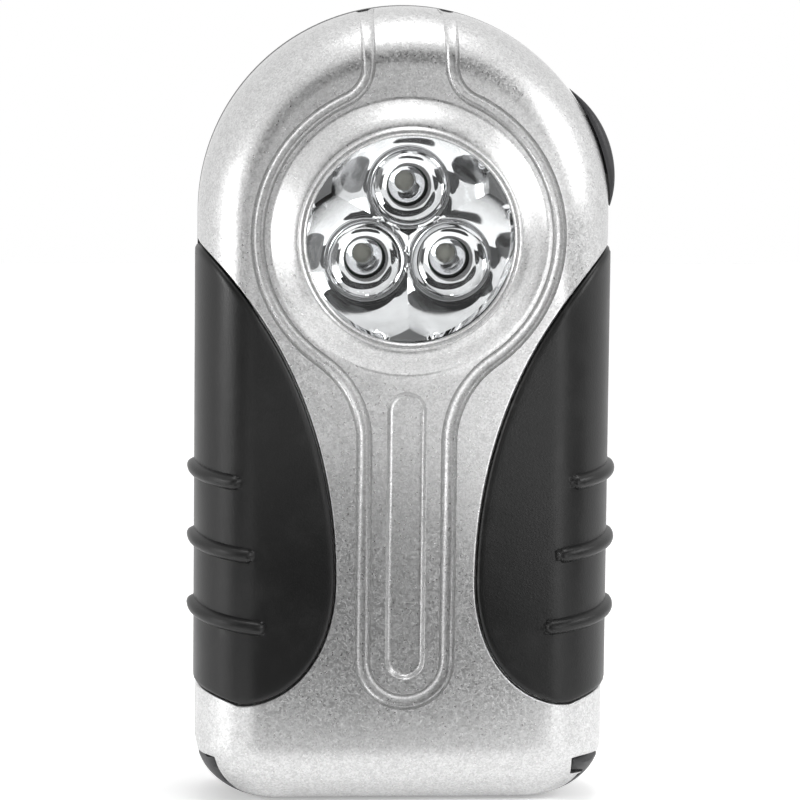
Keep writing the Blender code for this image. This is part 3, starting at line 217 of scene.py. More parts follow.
def slide(x, z, old, new):
    """Move points to another inset along the same station; also the outline's normals there."""
    side = np.where(x < 0, -1.0, 1.0)
    across = np.abs(x)
    reach = np.maximum(np.hypot(across, z - HEAD_Z), 1e-9)
    low = z < CORNER_UP
    corner = low & (across > CORNER_X)
    cosine = (across - CORNER_X) / (CORNER_ACROSS - old)
    sine = (CORNER_UP - z) / (CORNER_UP - old)
    lean = np.hypot(cosine / (CORNER_ACROSS - new), sine / (CORNER_UP - new)) + 1e-12
    places = [z > HEAD_Z, corner, low & ~corner]
    new_x = np.select(places, [across / reach * (reach + old - new),
                               CORNER_X + (CORNER_ACROSS - new) * cosine, across], across + old - new)
    new_z = np.select(places, [HEAD_Z + (z - HEAD_Z) / reach * (reach + old - new),
                               CORNER_UP - (CORNER_UP - new) * sine, z - old + new], z)
    nx = np.select(places, [across / reach, cosine / (CORNER_ACROSS - new) / lean, 0.0 * x], 1.0)
    nz = np.select(places, [(z - HEAD_Z) / reach, -sine / (CORNER_UP - new) / lean, -1.0 + 0 * x], 0.0)
    return side * new_x, new_z, side * nx, nz


def slide_one(x, z, old, new):
    """One point moved to another inset, and the outline's normal there, as two pairs."""
    moved = [float(value[0]) for value in slide(*(np.array([float(v)]) for v in (x, z, old, new)))]
    return tuple(moved[:2]), tuple(moved[2:])


def inset_of(x, z):
    return float(inset_at(np.array([x]), np.array([z]))[0])


def pressed(point, distance, further):
    """A corner moved in from the outline by a distance, and further towards the back."""
    inset = inset_of(point.x, point.z)
    (x, z), _ = slide_one(point.x, point.z, inset, inset + distance)
    return Vector((x, point.y + further, z))


def sunk(point, depth):
    """A corner pressed into the case: inwards at its side and backwards on its face."""
    lean = float(np.clip(inset_of(point.x, point.z) / FRONT.across, 0, 1))
    return pressed(point, depth * (1 - lean), depth * lean)


def widened(point, radius, y):
    """A corner moved out or in from the lens axis to a radius."""
    size = hypot(point.x, point.z - LENS_Z)
    return Vector((point.x * radius / size, y, LENS_Z + (point.z - LENS_Z) * radius / size))


def at_depth(y):
    """A move for draw_on that takes each corner straight to a depth."""
    return lambda p: Vector((p.x, y, p.z))


def outline(inset, spacing=0.0008):
    """The case's outline drawn in by an inset, as evenly spread points, from the base's middle."""
    corner = [(CORNER_X + (CORNER_ACROSS - inset) * cos(a), CORNER_UP + (CORNER_UP - inset) * sin(a))
              for a in np.linspace(-pi / 2, 0, 24)]
    head = [((HALF_WIDTH - inset) * cos(a), HEAD_Z + (HALF_WIDTH - inset) * sin(a))
            for a in np.linspace(0, pi / 2, 60)]
    right = [(0.0, inset)] + corner + head
    line = right + [(-x, z) for x, z in right[-2:0:-1]]
    return spaced(line + line[:1], spacing)[:-1]


def spaced(line, spacing):
    """The same line with points at an even spacing; its ends stay."""
    points = np.array(line, float)
    run = np.concatenate(([0], np.cumsum(np.hypot(*np.diff(points, axis=0).T))))
    at = np.linspace(0, run[-1], max(2, int(round(run[-1] / spacing)) + 1))
    return np.stack((np.interp(at, run, points[:, 0]), np.interp(at, run, points[:, 1])), 1)


def without_repeats(points, least=5e-5):
    """A loop without the points that all but repeat the one before."""
    kept = [points[0]]
    for p in points[1:]:
        if hypot(p[0] - kept[-1][0], p[1] - kept[-1][1]) > least:
            kept.append(p)
    return np.array(kept)


def arc(x, z, radius, start, end, steps=48):
    turns = [start + (end - start) * i / steps for i in range(steps + 1)]
    return [(x + radius * cos(turn), z + radius * sin(turn)) for turn in turns]


def ring(x, z, radius, spacing=0.0007):
    turns = np.linspace(0, 2 * pi, max(16, int(2 * pi * radius / spacing)), endpoint=False)
    return np.stack((x + radius * np.cos(turns), z + radius * np.sin(turns)), 1)


def grid(half, heights, step, least_inset=-1.0):
    """Free points in even rows, where they lie at least so far inside the outline."""
    spots = np.stack(np.meshgrid(np.arange(-half, half + 0.0001, step), heights), 2).reshape(-1, 2)
    return spots[inset_at(*spots.T) > least_inset]


def skin_fill(half, runs, spacing=0.0009):
    """Free points along drawn-in outlines, spread over a half's rounding and side wall."""
    return np.vstack([outline(half.across - run, spacing) for run in runs])


def beside(line, distance):
    """A line moved sideways, to its right as it runs, by a distance or one distance per point."""
    points = np.array(line, float)
    run = np.gradient(points, axis=0)
    run /= np.maximum(np.hypot(run[:, 0], run[:, 1]), 1e-12)[:, None]
    across = np.stack((run[:, 1], -run[:, 0]), 1)
    return points + across * np.reshape(distance, (-1, 1) if np.ndim(distance) else ())


def away_from(points, line, closed=False):
    """Distance of flat or solid points from a line."""
    line = np.array(line, float)
    ends = np.vstack((line, line[:1])) if closed else line
    best = np.full(len(points), 1e9)
    for start, end in zip(ends[:-1], ends[1:]):
        run = end - start
        size = run @ run
        if size < 1e-16:
            continue
        share = np.clip(((points - start) @ run) / size, 0, 1)
        off = points - start - share[:, None] * run
        best = np.minimum(best, np.einsum("ij,ij->i", off, off))
    return np.sqrt(best)


def inside(points, loop):
    """Whether points lie inside a closed loop."""
    loop = np.array(loop, float)
    odd = np.zeros(len(points), bool)
    for (x0, z0), (x1, z1) in zip(loop, np.roll(loop, -1, 0)):
        if z0 != z1:
            crosses = (points[:, 1] < z0) != (points[:, 1] < z1)
            odd ^= crosses & (points[:, 0] < (x1 - x0) * (points[:, 1] - z0) / (z1 - z0) + x0)
    return odd


def depth_inside(points, line, loop=None):
    """Distance from a line, above zero inside its loop and below zero outside."""
    gap = away_from(points, line, loop is None)
    return np.where(inside(points, line if loop is None else loop), gap, -gap)


def sheet(border, lines=(), loops=(), holes=(), fill=()):
    """A flat triangle sheet inside a border, whose edges follow lines and loops; free points fill it."""
    clear_of_edges, scale = 0.00028, 1000.0
    points, edges = [], []
    for group, closed in (([border], True), (lines, False), (loops, True), (holes, True)):
        for line in group:
            first = len(points)
            points += [Vector(p) for p in line]
            edges += [(i, i + 1) for i in range(first, len(points) - 1)]
            if closed:
                edges.append((len(points) - 1, first))
    if len(fill):
        tree = KDTree(len(points))
        for i, point in enumerate(points):
            tree.insert((point.x, point.y, 0), i)
        tree.balance()
        fill = fill[inside(fill, border)]
        points += [Vector(p) for p in fill if tree.find((p[0], p[1], 0))[2] > clear_of_edges]
    made = delaunay_2d_cdt([p * scale for p in points], edges, [], 1, 1e-5)
    spots = np.array([tuple(p) for p in made[0]]) / scale
    faces = np.array(made[2])
    middles = spots[faces].mean(1)
    keep = np.ones(len(faces), bool)
    for hole in holes:
        keep &= ~inside(middles, hole)
    faces = faces[keep]
    used = np.unique(faces)
    renumber = np.full(len(spots), -1)
    renumber[used] = np.arange(len(used))
    return spots[used], renumber[faces]


def shape_from(places, faces):
    """A bmesh with these corners and faces."""
    mesh = bpy.data.meshes.new("raw")
    mesh.from_pydata([tuple(p) for p in places], [], [tuple(int(i) for i in f) for f in faces])
    shape = bmesh.new()
    shape.from_mesh(mesh)
    bpy.data.meshes.remove(mesh)
    return shape


def border_edges(shape, wanted=lambda edge: True):
    return [e for e in shape.edges if len(e.link_faces) == 1 and wanted(e)]


def lens_distance(edge):
    middle = (edge.verts[0].co + edge.verts[1].co) / 2
    return hypot(middle.x, middle.z - LENS_Z)


def draw_on(shape, edges, *moves):
    """Grow rows of new faces from border edges; each move(corner) gives the new corners' places."""
    for move in moves:
        made = bmesh.ops.extrude_edge_only(shape, edges=edges)["geom"]
        for corner in made:
            if isinstance(corner, bmesh.types.BMVert):
                corner.co = move(corner.co.copy())
        edges = [g for g in made if isinstance(g, bmesh.types.BMEdge)]


def close_rows(shape, rows, ends=False):
    """Faces between rows of corners that each run once round; a row of one corner is a tip."""
    count = max(len(row) for row in rows)
    for lower, upper in zip(rows, rows[1:]):
        if len(lower) + len(upper) == 2:
            continue
        for i in range(count):
            j = (i + 1) % count
            corners = (lower[i % len(lower)], lower[j % len(lower)], upper[j % len(upper)], upper[i % len(upper)])
            shape.faces.new(list(dict.fromkeys(corners)))
    if ends:
        shape.faces.new(rows[0][::-1])
        shape.faces.new(rows[-1])


def turned(profile, x, z, count=96):
    """Turn a (radius, y) profile about the line along Y through (x, z), as a bmesh."""
    shape = bmesh.new()
    rows = []
    for radius, y in profile:
        turns = [2 * pi * i / count for i in range(count)] if radius else [0.0]
        rows.append([shape.verts.new((x + radius * cos(a), y, z + radius * sin(a))) for a in turns])
    close_rows(shape, rows)
    return shape


def add_piece(name, shape, look, node=None, body="torch", fold=40):
    """Make a mesh a piece with its material, smooth but for folds over an angle; it rides on its body."""
    bmesh.ops.recalc_face_normals(shape, faces=shape.faces)
    mesh = bpy.data.meshes.new(name)
    shape.to_mesh(mesh)
    shape.free()
    mesh.shade_smooth()
    mesh.set_sharp_from_angle(angle=radians(fold))
    mesh.materials.append(look)
    old = bpy.data.objects.get(name)
    if old:
        bpy.data.objects.remove(old, do_unlink=True)
    piece = bpy.data.objects.new(name, mesh)
    bpy.context.scene.collection.objects.link(piece)
    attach(piece, body)
    if node:
        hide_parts(node)


def keyhole():
    """The keyhole groove's centre line: over the crest, round the bezel and down the neck to its foot."""
    ring_radius, crest, crest_fillet, neck, neck_fillet, foot = 0.0206, 0.0057, 0.0052, 0.0058, 0.0140, 0.0151
    crest_x, neck_x = crest + crest_fillet, neck + neck_fillet
    crest_z = LENS_Z + sqrt((ring_radius + crest_fillet) ** 2 - crest_x ** 2)
    neck_z = LENS_Z - sqrt((ring_radius + neck_fillet) ** 2 - neck_x ** 2)
    upper = atan2(crest_z - LENS_Z, crest_x)
    lower = atan2(neck_z - LENS_Z, neck_x)
    right = [(crest, HEIGHT + 0.02), (crest, crest_z)]
    right += arc(crest_x, crest_z, crest_fillet, pi, pi + upper)
    right += arc(0, LENS_Z, ring_radius, upper, lower)
    right += arc(neck_x, neck_z, neck_fillet, lower + pi, pi)
    right += arc(0, foot + neck, neck, 0, -pi / 2)
    return spaced(right + [(-x, z) for x, z in right[-2::-1]], 0.0004)


KEYHOLE = keyhole()


def groove_half(z):
    """Half the groove's width: a little wider down the neck than round the bezel."""
    return 0.00095 + 0.00013 * np.clip((0.066 - z) / 0.008, 0, 1)


def bezier(start, first, second, end, steps):
    t = np.linspace(0, 1, steps + 1)[:, None]
    corners = [np.array(p) for p in (start, first, second, end)]
    return ((1 - t) ** 3 * corners[0] + 3 * (1 - t) ** 2 * t * corners[1]
            + 3 * (1 - t) * t * t * corners[2] + t ** 3 * corners[3])


def grip_line(side):
    """The grip's long S edge, from beyond the side above to beyond the side below."""
    top, waist, heel = (0.0282, 0.0778), (0.00955, 0.0320), (0.0229, 0.0146)
    drop, lift, reach = top[1] - waist[1], waist[1] - heel[1], top[0] - waist[0]
    upper = bezier(top, (top[0] - 0.45 * reach, top[1] - 0.16 * drop),
                   (waist[0], waist[1] + 0.50 * drop), waist, 60)
    lower = bezier(waist, (waist[0], waist[1] - 0.57 * lift),
                   (heel[0] - 0.60 * (heel[0] - waist[0]), heel[1]), heel, 40)
    path = np.vstack(([(0.0300, 0.0784)], upper, lower[1:], [(0.0282, 0.0162), (0.0300, 0.0168)]))
    return spaced(path * (side, 1), 0.0004)


def flat_grip_line(side, distance):
    """The grip's edge on the unrolled sheet, drawn in by a distance, and run out past the seam."""
    line = beside(grip_line(side), -side * distance)
    flat = FRONT.unroll(line[np.abs(line[:, 0]) <= HALF_WIDTH - 1e-5])
    far = side * 0.045
    return np.vstack(([(far, flat[0, 1])], flat, [(far, flat[-1, 1])]))


def into_grip(places, side):
    """Distance inside the grip's outline, as seen from the front; outside it is negative."""
    points = np.stack((np.clip(places[:, 0], -HALF_WIDTH, HALF_WIDTH), places[:, 2]), 1)
    line = grip_line(side)
    far = side * 0.05
    return depth_inside(points, line, np.vstack((line, [(far, line[-1, 1]), (far, line[0, 1])])))


def pocket_loop(inset=0.0):
    """The neck pocket's rounded outline, drawn in by an inset."""
    half, bottom, top = POCKET[0] - inset, POCKET[1] + inset, POCKET[2] - inset
    return spaced(arc(0, top - half, half, 0, pi) + arc(0, bottom + half, half, pi, 2 * pi)
                  + [(half, top - half)], 0.0005)[:-1]


# Radius past the lens opening and fall from the lip: an inner bead, a fine groove, an outer bead, the cone
BEZEL_STEPS = ((0.00012, 0.0001), (0.00026, 0), (0.00042, 0.0001), (0.00054, 0.00034), (0.00062, 0.00034),
               (0.00074, 0.0001), (0.00092, 0), (0.00108, 0.0001), (0.0012, 0.0004), (0.00126, 0.0008))
BEZEL_PROFILE = [(APERTURE + out, BEZEL_RISE - fall) for out, fall in BEZEL_STEPS] + [
    (BEZEL_LIP + 0.0006, BEZEL_RISE - 0.00095), (BEZEL_FOOT - 0.0003, 0.0002), (BEZEL_FOOT, 0.00005),
    (BEZEL_FOOT + 0.0003, 0.0)]


def silver_relief(places, depths):
    """How far the silver skin stands out of the plain case: bezel, groove, pocket and grip seats."""
    points = places[:, [0, 2]]
    from_lens = np.hypot(points[:, 0], points[:, 1] - LENS_Z)
    lip = BEZEL_RISE - 0.0003
    out = np.interp(from_lens, *zip((0.0, lip), (APERTURE, lip), *BEZEL_PROFILE))
    share = np.clip(away_from(points, KEYHOLE) / groove_half(points[:, 1]), 0, 1)
    crest_run = 0.006
    crest = np.clip((HEIGHT - 0.0012 - points[:, 1]) / crest_run, 0, 1)
    out -= depths.groove_depth * (0.2 + 0.8 * crest) * (1 - share ** 4) ** 0.7
    into = depth_inside(points, pocket_loop())
    out -= depths.pocket_depth * np.interp(into, [0, 0.0001, 0.00045, 0.0006], [0, 0.12, 0.9, 1])
    for side in (-1, 1):
        out -= np.interp(into_grip(places, side), *SEAT_STEPS)
    return out


def flat_point(x, z):
    return tuple(FRONT.unroll([(x, z)])[0])


def seam_point(x, z, past):
    """A point of the outline moved out to the seam on the unrolled sheet; the slider's slot cuts it back."""
    turn = atan2(z - HEAD_Z, x)
    if KNOB_ANGLE - SLOT_HALF < turn < KNOB_ANGLE + SLOT_HALF + KNOB_TRAVEL:
        past = past + SLOT_Y
    return slide_one(x, z, 0.0, past)[0]


def foot_front(x):
    """How far forward the rear shell's foot reaches under the front shell."""
    return float(np.interp(abs(x), [0, 0.0215, 0.0258, 0.03], [-0.0045, -0.0045, -0.0078, -0.0078]))


def foot_edge(x, z):
    """Where the silver skin ends over the foot, on the unrolled sheet, at an outline station."""
    here = x
    for _ in range(4):
        turn = acos(max(0.0, 1 - min(1.0, (foot_front(here) - FRONT_Y) / FRONT.depth)))
        (here, _), _ = slide_one(x, z, 0.0, FRONT.across * (1 - sin(turn)))
    run = float(np.interp(turn, FRONT.turns, FRONT.runs))
    return slide_one(x, z, 0.0, FRONT.across - run)[0]


def front_border():
    """The silver skin's edge on the unrolled sheet: the seam, cut back over the foot and tongue."""
    past = FRONT.across - front_run(SEAM_Y - GAP / 2)
    loop = outline(0.0)
    low = FOOT_TOP + GAP
    foot = [foot_edge(*p) for p in loop if p[0] >= 0 and p[1] < low]
    border = [p for p in foot if p[1] < TONGUE_LOW - 0.0016]
    notch = ((HALF_WIDTH - 0.0014, TONGUE_LOW - GAP), (TONGUE_X - GAP, TONGUE_LOW - GAP), (TONGUE_X - GAP, low),
             (HALF_WIDTH - 0.0006, low))
    border += [flat_point(*p) for p in notch]
    border.append(seam_point(HALF_WIDTH, low, past))
    border += [seam_point(*p, past) for p in loop if p[1] >= low]
    border += [seam_point(-HALF_WIDTH, low, past), flat_point(-HALF_WIDTH + 0.0003, low)]
    border += [foot_edge(*p) for p in loop if p[0] < 0 and p[1] < low]
    return without_repeats(border)


def groove_edges():
    """Lines along the groove on the unrolled sheet, from wall to wall, run out past the seam above."""
    lines = []
    for share in (-1.15, -1.02, -0.985, -0.93, -0.8, -0.55, -0.25, 0, 0.25, 0.55, 0.8, 0.93, 0.985, 1.02, 1.15):
        line = beside(KEYHOLE, share * groove_half(KEYHOLE[:, 1]))
        flat = FRONT.unroll(line[line[:, 1] < HEAD_Z + 0.0278])
        ends = [(x * 1.15, z + 0.012) for x, z in (flat[0], flat[-1])]
        lines.append(np.vstack((ends[:1], flat, ends[1:])))
    return lines


def front_skin():
    """The flat triangle sheet of the silver skin, with edges along all its relief."""
    grip_steps = (-0.0003, *SEAT_STEPS[0], 0.0004)
    lines = groove_edges() + [flat_grip_line(side, d) for side in (-1, 1) for d in grip_steps]
    loops = [pocket_loop(d) for d in (-0.0002, 0, 0.0001, 0.00025, 0.00045, 0.0006, 0.0009)]
    loops += [ring(0, LENS_Z, r) for r in [r for r, _ in BEZEL_PROFILE] + [0.0168, 0.0178]]
    seam = front_run(SEAM_Y - GAP / 2)
    runs = [*np.linspace(0, FRONT.length, 15), FRONT.length + 0.0012, seam - 0.0005, seam - 0.0002]
    fill = np.vstack((skin_fill(FRONT, runs), grid(0.02, np.arange(0.009, 0.1, 0.0016), 0.0016, 0.0085)))
    fill = fill[np.hypot(fill[:, 0], fill[:, 1] - LENS_Z) > BEZEL_FOOT + 0.0006]
    return sheet(front_border(), lines, loops, [ring(0, LENS_Z, APERTURE)], fill)


def build_silver_shell(depths, look):
    shape = FRONT.raised(*front_skin(), lambda places: silver_relief(places, depths))
    bmesh.ops.recalc_face_normals(shape, faces=shape.faces)
    bore = border_edges(shape, lambda e: lens_distance(e) < APERTURE + 0.001)
    rim = border_edges(shape, lambda e: lens_distance(e) >= APERTURE + 0.001)
    draw_on(shape, bore, at_depth(SEAT_Y), lambda p: widened(p, LENS_RADIUS + GAP, p.y))
    draw_on(shape, rim, lambda p: pressed(p, 0.0002, 0.00012), lambda p: pressed(p, WALL, 0.0),
            lambda p: Vector((p.x, max(FRONT_Y + WALL, p.y - 0.004), p.z)))
    add_piece("silver_shell", shape, look, "front_shell", fold=38)


def reflector_depth(points):
    """Depth of the mirror's face: three shallow bowls with a raised lip round each bright cup."""
    inner = CUP_RADIUS + CUP_LIP
    sink = (BOWL_FLOOR_Y - RIM_Y) / (BOWL_MOUTH ** 2 - inner ** 2)
    y = np.full(len(points), RIM_Y)
    for x, z in BOWL_AXES:
        gap = np.hypot(points[:, 0] - x, points[:, 1] - z)
        bowl = BOWL_FLOOR_Y - sink * (gap ** 2 - inner ** 2)
        share = 1 - np.clip((gap - LED_HOLE) / (CUP_RADIUS - LED_HOLE), 0, 1) ** 2
        lip = np.interp(gap, [CUP_RADIUS, CUP_RADIUS + 0.0001, inner - 0.0001, inner], [0, 0.00022, 0.00022, 0])
        y = np.maximum(y, np.where(gap < inner, BOWL_FLOOR_Y + CUP_DEPTH * share - lip, bowl))
    return y


def clearances(circle, own):
    """Distance of a ring's points from the nearest other bowl's axis, and from the lens axis."""
    others = [np.hypot(*(circle - axis).T) for axis in BOWL_AXES if axis != own]
    return np.min(others, 0), np.hypot(circle[:, 0], circle[:, 1] - LENS_Z)


def mouth_arcs(mouth, shown):
    """The shown stretches of a ring, each as a line."""
    first = int(np.argmin(shown))
    shown, mouth = np.roll(shown, -first), np.roll(mouth, -first, 0)
    cuts = np.flatnonzero(np.diff(shown.astype(int))) + 1
    return [part for part, ok in zip(np.split(mouth, cuts), np.split(shown, cuts)) if ok[0] and len(part) > 1]


def build_reflector(look):
    """The metallised moulding: bowls, cups, ridges between them and facets at the rim."""
    rim, flange_y, back_y, bore_y = APERTURE - 0.0003, -0.0106, -0.0094, -0.0006
    loops, lines, fill = [], [], []
    for x, z in BOWL_AXES:
        loops += [ring(x, z, radius, 0.00035) for radius in (
            0.0030, 0.0034, 0.0038, 0.0042, 0.0046, 0.0049, 0.00515, CUP_RADIUS, CUP_RADIUS + 0.0001,
            CUP_RADIUS + CUP_LIP - 0.0001, CUP_RADIUS + CUP_LIP - 0.00002)]
        for radius in np.arange(0.0061, BOWL_MOUTH - 0.0002, 0.00045):
            circle = ring(x, z, radius, 0.00045)
            others, out = clearances(circle, (x, z))
            fill.append(circle[(others > radius + 0.0002) & (out < rim - 0.0002)])
        mouth = ring(x, z, BOWL_MOUTH, 0.0003)
        others, out = clearances(mouth, (x, z))
        lines += mouth_arcs(mouth, (others >= BOWL_MOUTH) & (out < rim))
    meeting = BOWL_CENTRE / 2 + sqrt(BOWL_MOUTH ** 2 - 0.75 * BOWL_CENTRE ** 2)
    for turn in (-pi / 2, pi / 6, 5 * pi / 6):
        lines.append(spaced([(0, LENS_Z), (meeting * cos(turn), LENS_Z + meeting * sin(turn))], 0.0004))
    holes = [ring(x, z, LED_HOLE, 0.00035) for x, z in BOWL_AXES]
    flat, faces = sheet(ring(0, LENS_Z, rim, 0.0004), lines, loops, holes, np.vstack(fill))
    shape = shape_from(np.stack((flat[:, 0], reflector_depth(flat), flat[:, 1]), 1), faces)
    outer = border_edges(shape, lambda e: lens_distance(e) > rim - 0.0003)
    inner = border_edges(shape, lambda e: lens_distance(e) <= rim - 0.0003)
    draw_on(shape, outer, *[lambda p, radius=radius, y=y: widened(p, radius, y) for radius, y in (
        (APERTURE, RIM_Y), (APERTURE, flange_y), (LENS_RADIUS, flange_y), (LENS_RADIUS, back_y), (APERTURE, back_y))])
    draw_on(shape, inner, at_depth(bore_y))
    add_piece("mirror", shape, look, "reflector", fold=30)


# Turned inner pieces of an LED, as (radius, y): the die's bright dish on its post, the phosphor drop and a leg
DIE_CUP = ((0, -0.0030), (0.00025, -0.0030), (0.0006, -0.0034), (0.00072, -0.0034), (0.0009, -0.0030),
           (0.0021, -0.0040), (0.0022, -0.0038), (0.0022, -0.0024), (0.0003, -0.0018), (0.0003, 0.0006), (0, 0.0006))
PHOSPHOR = ((0, -0.00365), (0.0003, -0.0036), (0.00058, -0.00342), (0.00058, -0.00335), (0.0002, -0.0031),
            (0, -0.0031))
LEG = ((0, -0.0032), (0.0003, -0.0032), (0.0003, 0.0006), (0, 0.0006))
LEG_ASIDE = 0.0014


def build_leds(epoxy, metal, glow):
    """Each LED: clear dome with its flange, and inside it the die cup, phosphor and leg."""
    flange = LED_BASE_Y - 0.001
    dome = [(LED_RADIUS * sin(a), LED_TIP_Y + LED_RADIUS * (1 - cos(a))) for a in np.linspace(0, pi / 2, 16)]
    dome += [(LED_RADIUS, flange - 0.0002), (LED_RADIUS + 0.0001, flange), (0.0028, flange),
             (0.0029, flange + 0.0001), (0.0029, LED_BASE_Y), (0, LED_BASE_Y)]
    for number, (x, z) in enumerate(BOWL_AXES, start=1):
        add_piece(f"led_dome_{number}", turned(dome, x, z, 64), epoxy, f"led_{number}", fold=50)
        add_piece(f"led_die_cup_{number}", turned(DIE_CUP, x, z, 32), metal)
        add_piece(f"led_phosphor_{number}", turned(PHOSPHOR, x, z, 24), glow, fold=60)
        add_piece(f"led_leg_{number}", turned(LEG, x + LEG_ASIDE, z, 12), metal)


def build_lens(look):
    """The clear window: flat, with a rounded edge."""
    profile = [(0, LENS_FRONT_Y), (0.0135, LENS_FRONT_Y), (0.0140, LENS_FRONT_Y + 0.00002),
               (LENS_RADIUS - 0.0001, LENS_FRONT_Y + 0.0002), (LENS_RADIUS, LENS_FRONT_Y + 0.0004),
               (LENS_RADIUS, LENS_BACK_Y), (0, LENS_BACK_Y)]
    add_piece("window", turned(profile, 0, LENS_Z, 128), look, "lens", fold=30)


def bead_line(side, row):
    """Middle line of one bead on the plain case, in 3D, with its slight drop."""
    reach, top, drop = (first + step * row for first, step in (BEAD_REACH, BEAD_TOP, BEAD_DROP))
    last = acos(max(0.0, 1 - reach / FRONT.across))
    points = [(side * HALF_WIDTH, SEAM_Y - 0.0014, top)]
    for t in np.linspace(0, 1, 24):
        points.append((side * (HALF_WIDTH - FRONT.across * (1 - cos(last * t))),
                       FRONT_Y + FRONT.depth * (1 - sin(last * t)), top - drop * t))
    return np.array(points)


def unrolled_bead(side, row):
    """A bead's middle line on the unrolled sheet, a little longer than the bead."""
    flat = []
    for _, y, z in bead_line(side, row):
        turn = acos(max(0.0, 1 - min(1.0, (y - FRONT_Y) / FRONT.depth)))
        run = float(np.interp(turn, FRONT.turns, FRONT.runs)) + max(0.0, y - FRONT_Y - FRONT.depth)
        flat.append((side * (HALF_WIDTH - FRONT.across + run), z))
    ahead = np.array(flat[-1]) - np.array(flat[-2])
    ahead /= np.hypot(*ahead)
    return spaced(flat + [tuple(np.array(flat[-1]) + ahead * 0.0013)], 0.0003)


def bead_relief(places, side, radius):
    """Height of the three beads: round bars that wrap from the side onto the front."""
    gap = np.min([away_from(places, bead_line(side, row)) for row in BEAD_ROWS], 0)
    return np.sqrt(np.maximum(radius ** 2 - gap ** 2, 0))


def grip_border(side):
    """The pad's edge on the unrolled sheet, with a clearance to its seat and to the seam."""
    line = flat_grip_line(side, GRIP_GAP)
    edge = side * (HALF_WIDTH - (FRONT.across - front_run(SEAM_Y - 0.0005)))
    inner = line[np.abs(line[:, 0]) < abs(edge)]
    return np.vstack((inner, spaced([(edge, inner[-1, 1]), (edge, inner[0, 1])], 0.0006)))


def build_grip(side, look, bead_radius):
    """A rubber pad with rounded edges and three beads."""
    name, node = ("rubber_left", "left_grip") if side < 0 else ("rubber_right", "right_grip")
    beads = [unrolled_bead(side, row) for row in BEAD_ROWS]
    lines = [flat_grip_line(side, d) for d in (0.00026, 0.00034, 0.00046, 0.0006, 0.00085, 0.0012)]
    lines += [beside(bead, offset) for bead in beads for offset in np.linspace(-0.00125, 0.00125, 17)]
    fill = np.vstack((skin_fill(FRONT, np.linspace(0, FRONT.length + 0.0020, 22)),
                      grid(0.0215, np.arange(0.014, 0.08, 0.0010), 0.0010, 0.0082)))
    near = np.min([away_from(fill, bead) for bead in beads], 0)
    flat, faces = sheet(grip_border(side), lines, (), (), fill[near > BEAD_ROOM])
    into = away_from(flat, flat_grip_line(side, GRIP_GAP))
    edge = np.interp(into, [0, 0.00004, 0.00012, 0.00024, 0.00038, 0.0006, 0.0009],
                     [-0.0003, -0.00005, 0.00012, 0.00024, 0.00032, 0.00038, 0.0004])
    shape = FRONT.raised(flat, faces, lambda places: edge + bead_relief(places, side, bead_radius)
                         * np.clip(into / 0.0006, 0, 1))
    draw_on(shape, border_edges(shape), lambda p: sunk(p, PAD_DEPTH))
    add_piece(name, shape, look, node, fold=60)


def knob_section(top, floor, width, edge):
    """One cross section of the cap: (radius, y) points round it, its upper corners rounded."""
    top = max(top, floor + 0.00002)
    round_by = min(edge, (top - floor) * 0.9)
    corner = [(top - round_by * (1 - sin(turn)), width - round_by * (1 - cos(turn)))
              for turn in np.linspace(pi / 2, 0, 7)]
    return [(floor, -width)] + [(r, -y) for r, y in corner[::-1]] + corner + [(floor, width)]


def knob_row(shape, section, along):
    """The corners of a cross section, placed at a distance along the head's edge from the knob's middle."""
    out_x, out_z = cos(KNOB_ANGLE), sin(KNOB_ANGLE)
    return [shape.verts.new((out_x * r - out_z * along, SEAM_Y + y, HEAD_Z + out_z * r + out_x * along))
            for r, y in section]


def build_slider_knob(look):
    """The thumb piece: a crowned lens-shaped cap with soft edges, on its neck through the slot."""
    ride, half, crown, width, edge = HALF_WIDTH + GAP, 0.0084, 0.0147, 0.0038, 0.0019
    centre = sqrt(ride ** 2 - half ** 2) - sqrt(crown ** 2 - half ** 2)
    reach = asin(half / crown)
    shape = bmesh.new()
    rows = []
    for a in np.linspace(-reach, reach, 61):
        along = crown * sin(a)
        section = knob_section(centre + crown * cos(a), sqrt(ride ** 2 - along ** 2),
                               width * (1 - 0.45 * (along / half) ** 4), edge)
        rows.append(knob_row(shape, section, along))
    close_rows(shape, rows, ends=True)
    low, high, neck = HALF_WIDTH - WALL - 0.0003, ride + 0.0003, 0.002
    section = [(low, -neck), (high, -neck), (high, neck), (low, neck)]
    close_rows(shape, [knob_row(shape, section, along) for along in (-0.004, 0.004)], ends=True)
    add_piece("thumb_slider", shape, look, "switch_knob", body="slider", fold=45)


def foot_border():
    """The rear shell's foot on the front half's unrolled sheet, with its corner tongue at the right."""
    low = FOOT_TOP - GAP / 2
    past = FRONT.across - front_run(SEAM_Y)
    loop = [tuple(p) for p in outline(0.0) if p[1] < low]
    stations = [p for p in loop if p[0] < 0] + [p for p in loop if p[0] >= 0]
    ahead = []
    for x, z in [foot_edge(*p) for p in stations]:
        if x <= 0 or z <= TONGUE_LOW - 0.0019:
            normal = slide_one(x, z, inset_of(x, z), 0.0)[1]
            ahead.append((x + normal[0] * GAP, z + normal[1] * GAP))
    tongue = ((TONGUE_X + 0.0018, TONGUE_LOW - 0.0003), (TONGUE_X + 0.0012, TONGUE_LOW),
              (TONGUE_X, TONGUE_LOW + 0.0002), (TONGUE_X, low), (HALF_WIDTH - 0.0006, low))
    return without_repeats([seam_point(-HALF_WIDTH, low, past), *[seam_point(*p, past) for p in stations],
                            seam_point(HALF_WIDTH, low, past), *[flat_point(*p) for p in tongue[::-1]],
                            *ahead[::-1], flat_point(-HALF_WIDTH + 0.0012, low)])


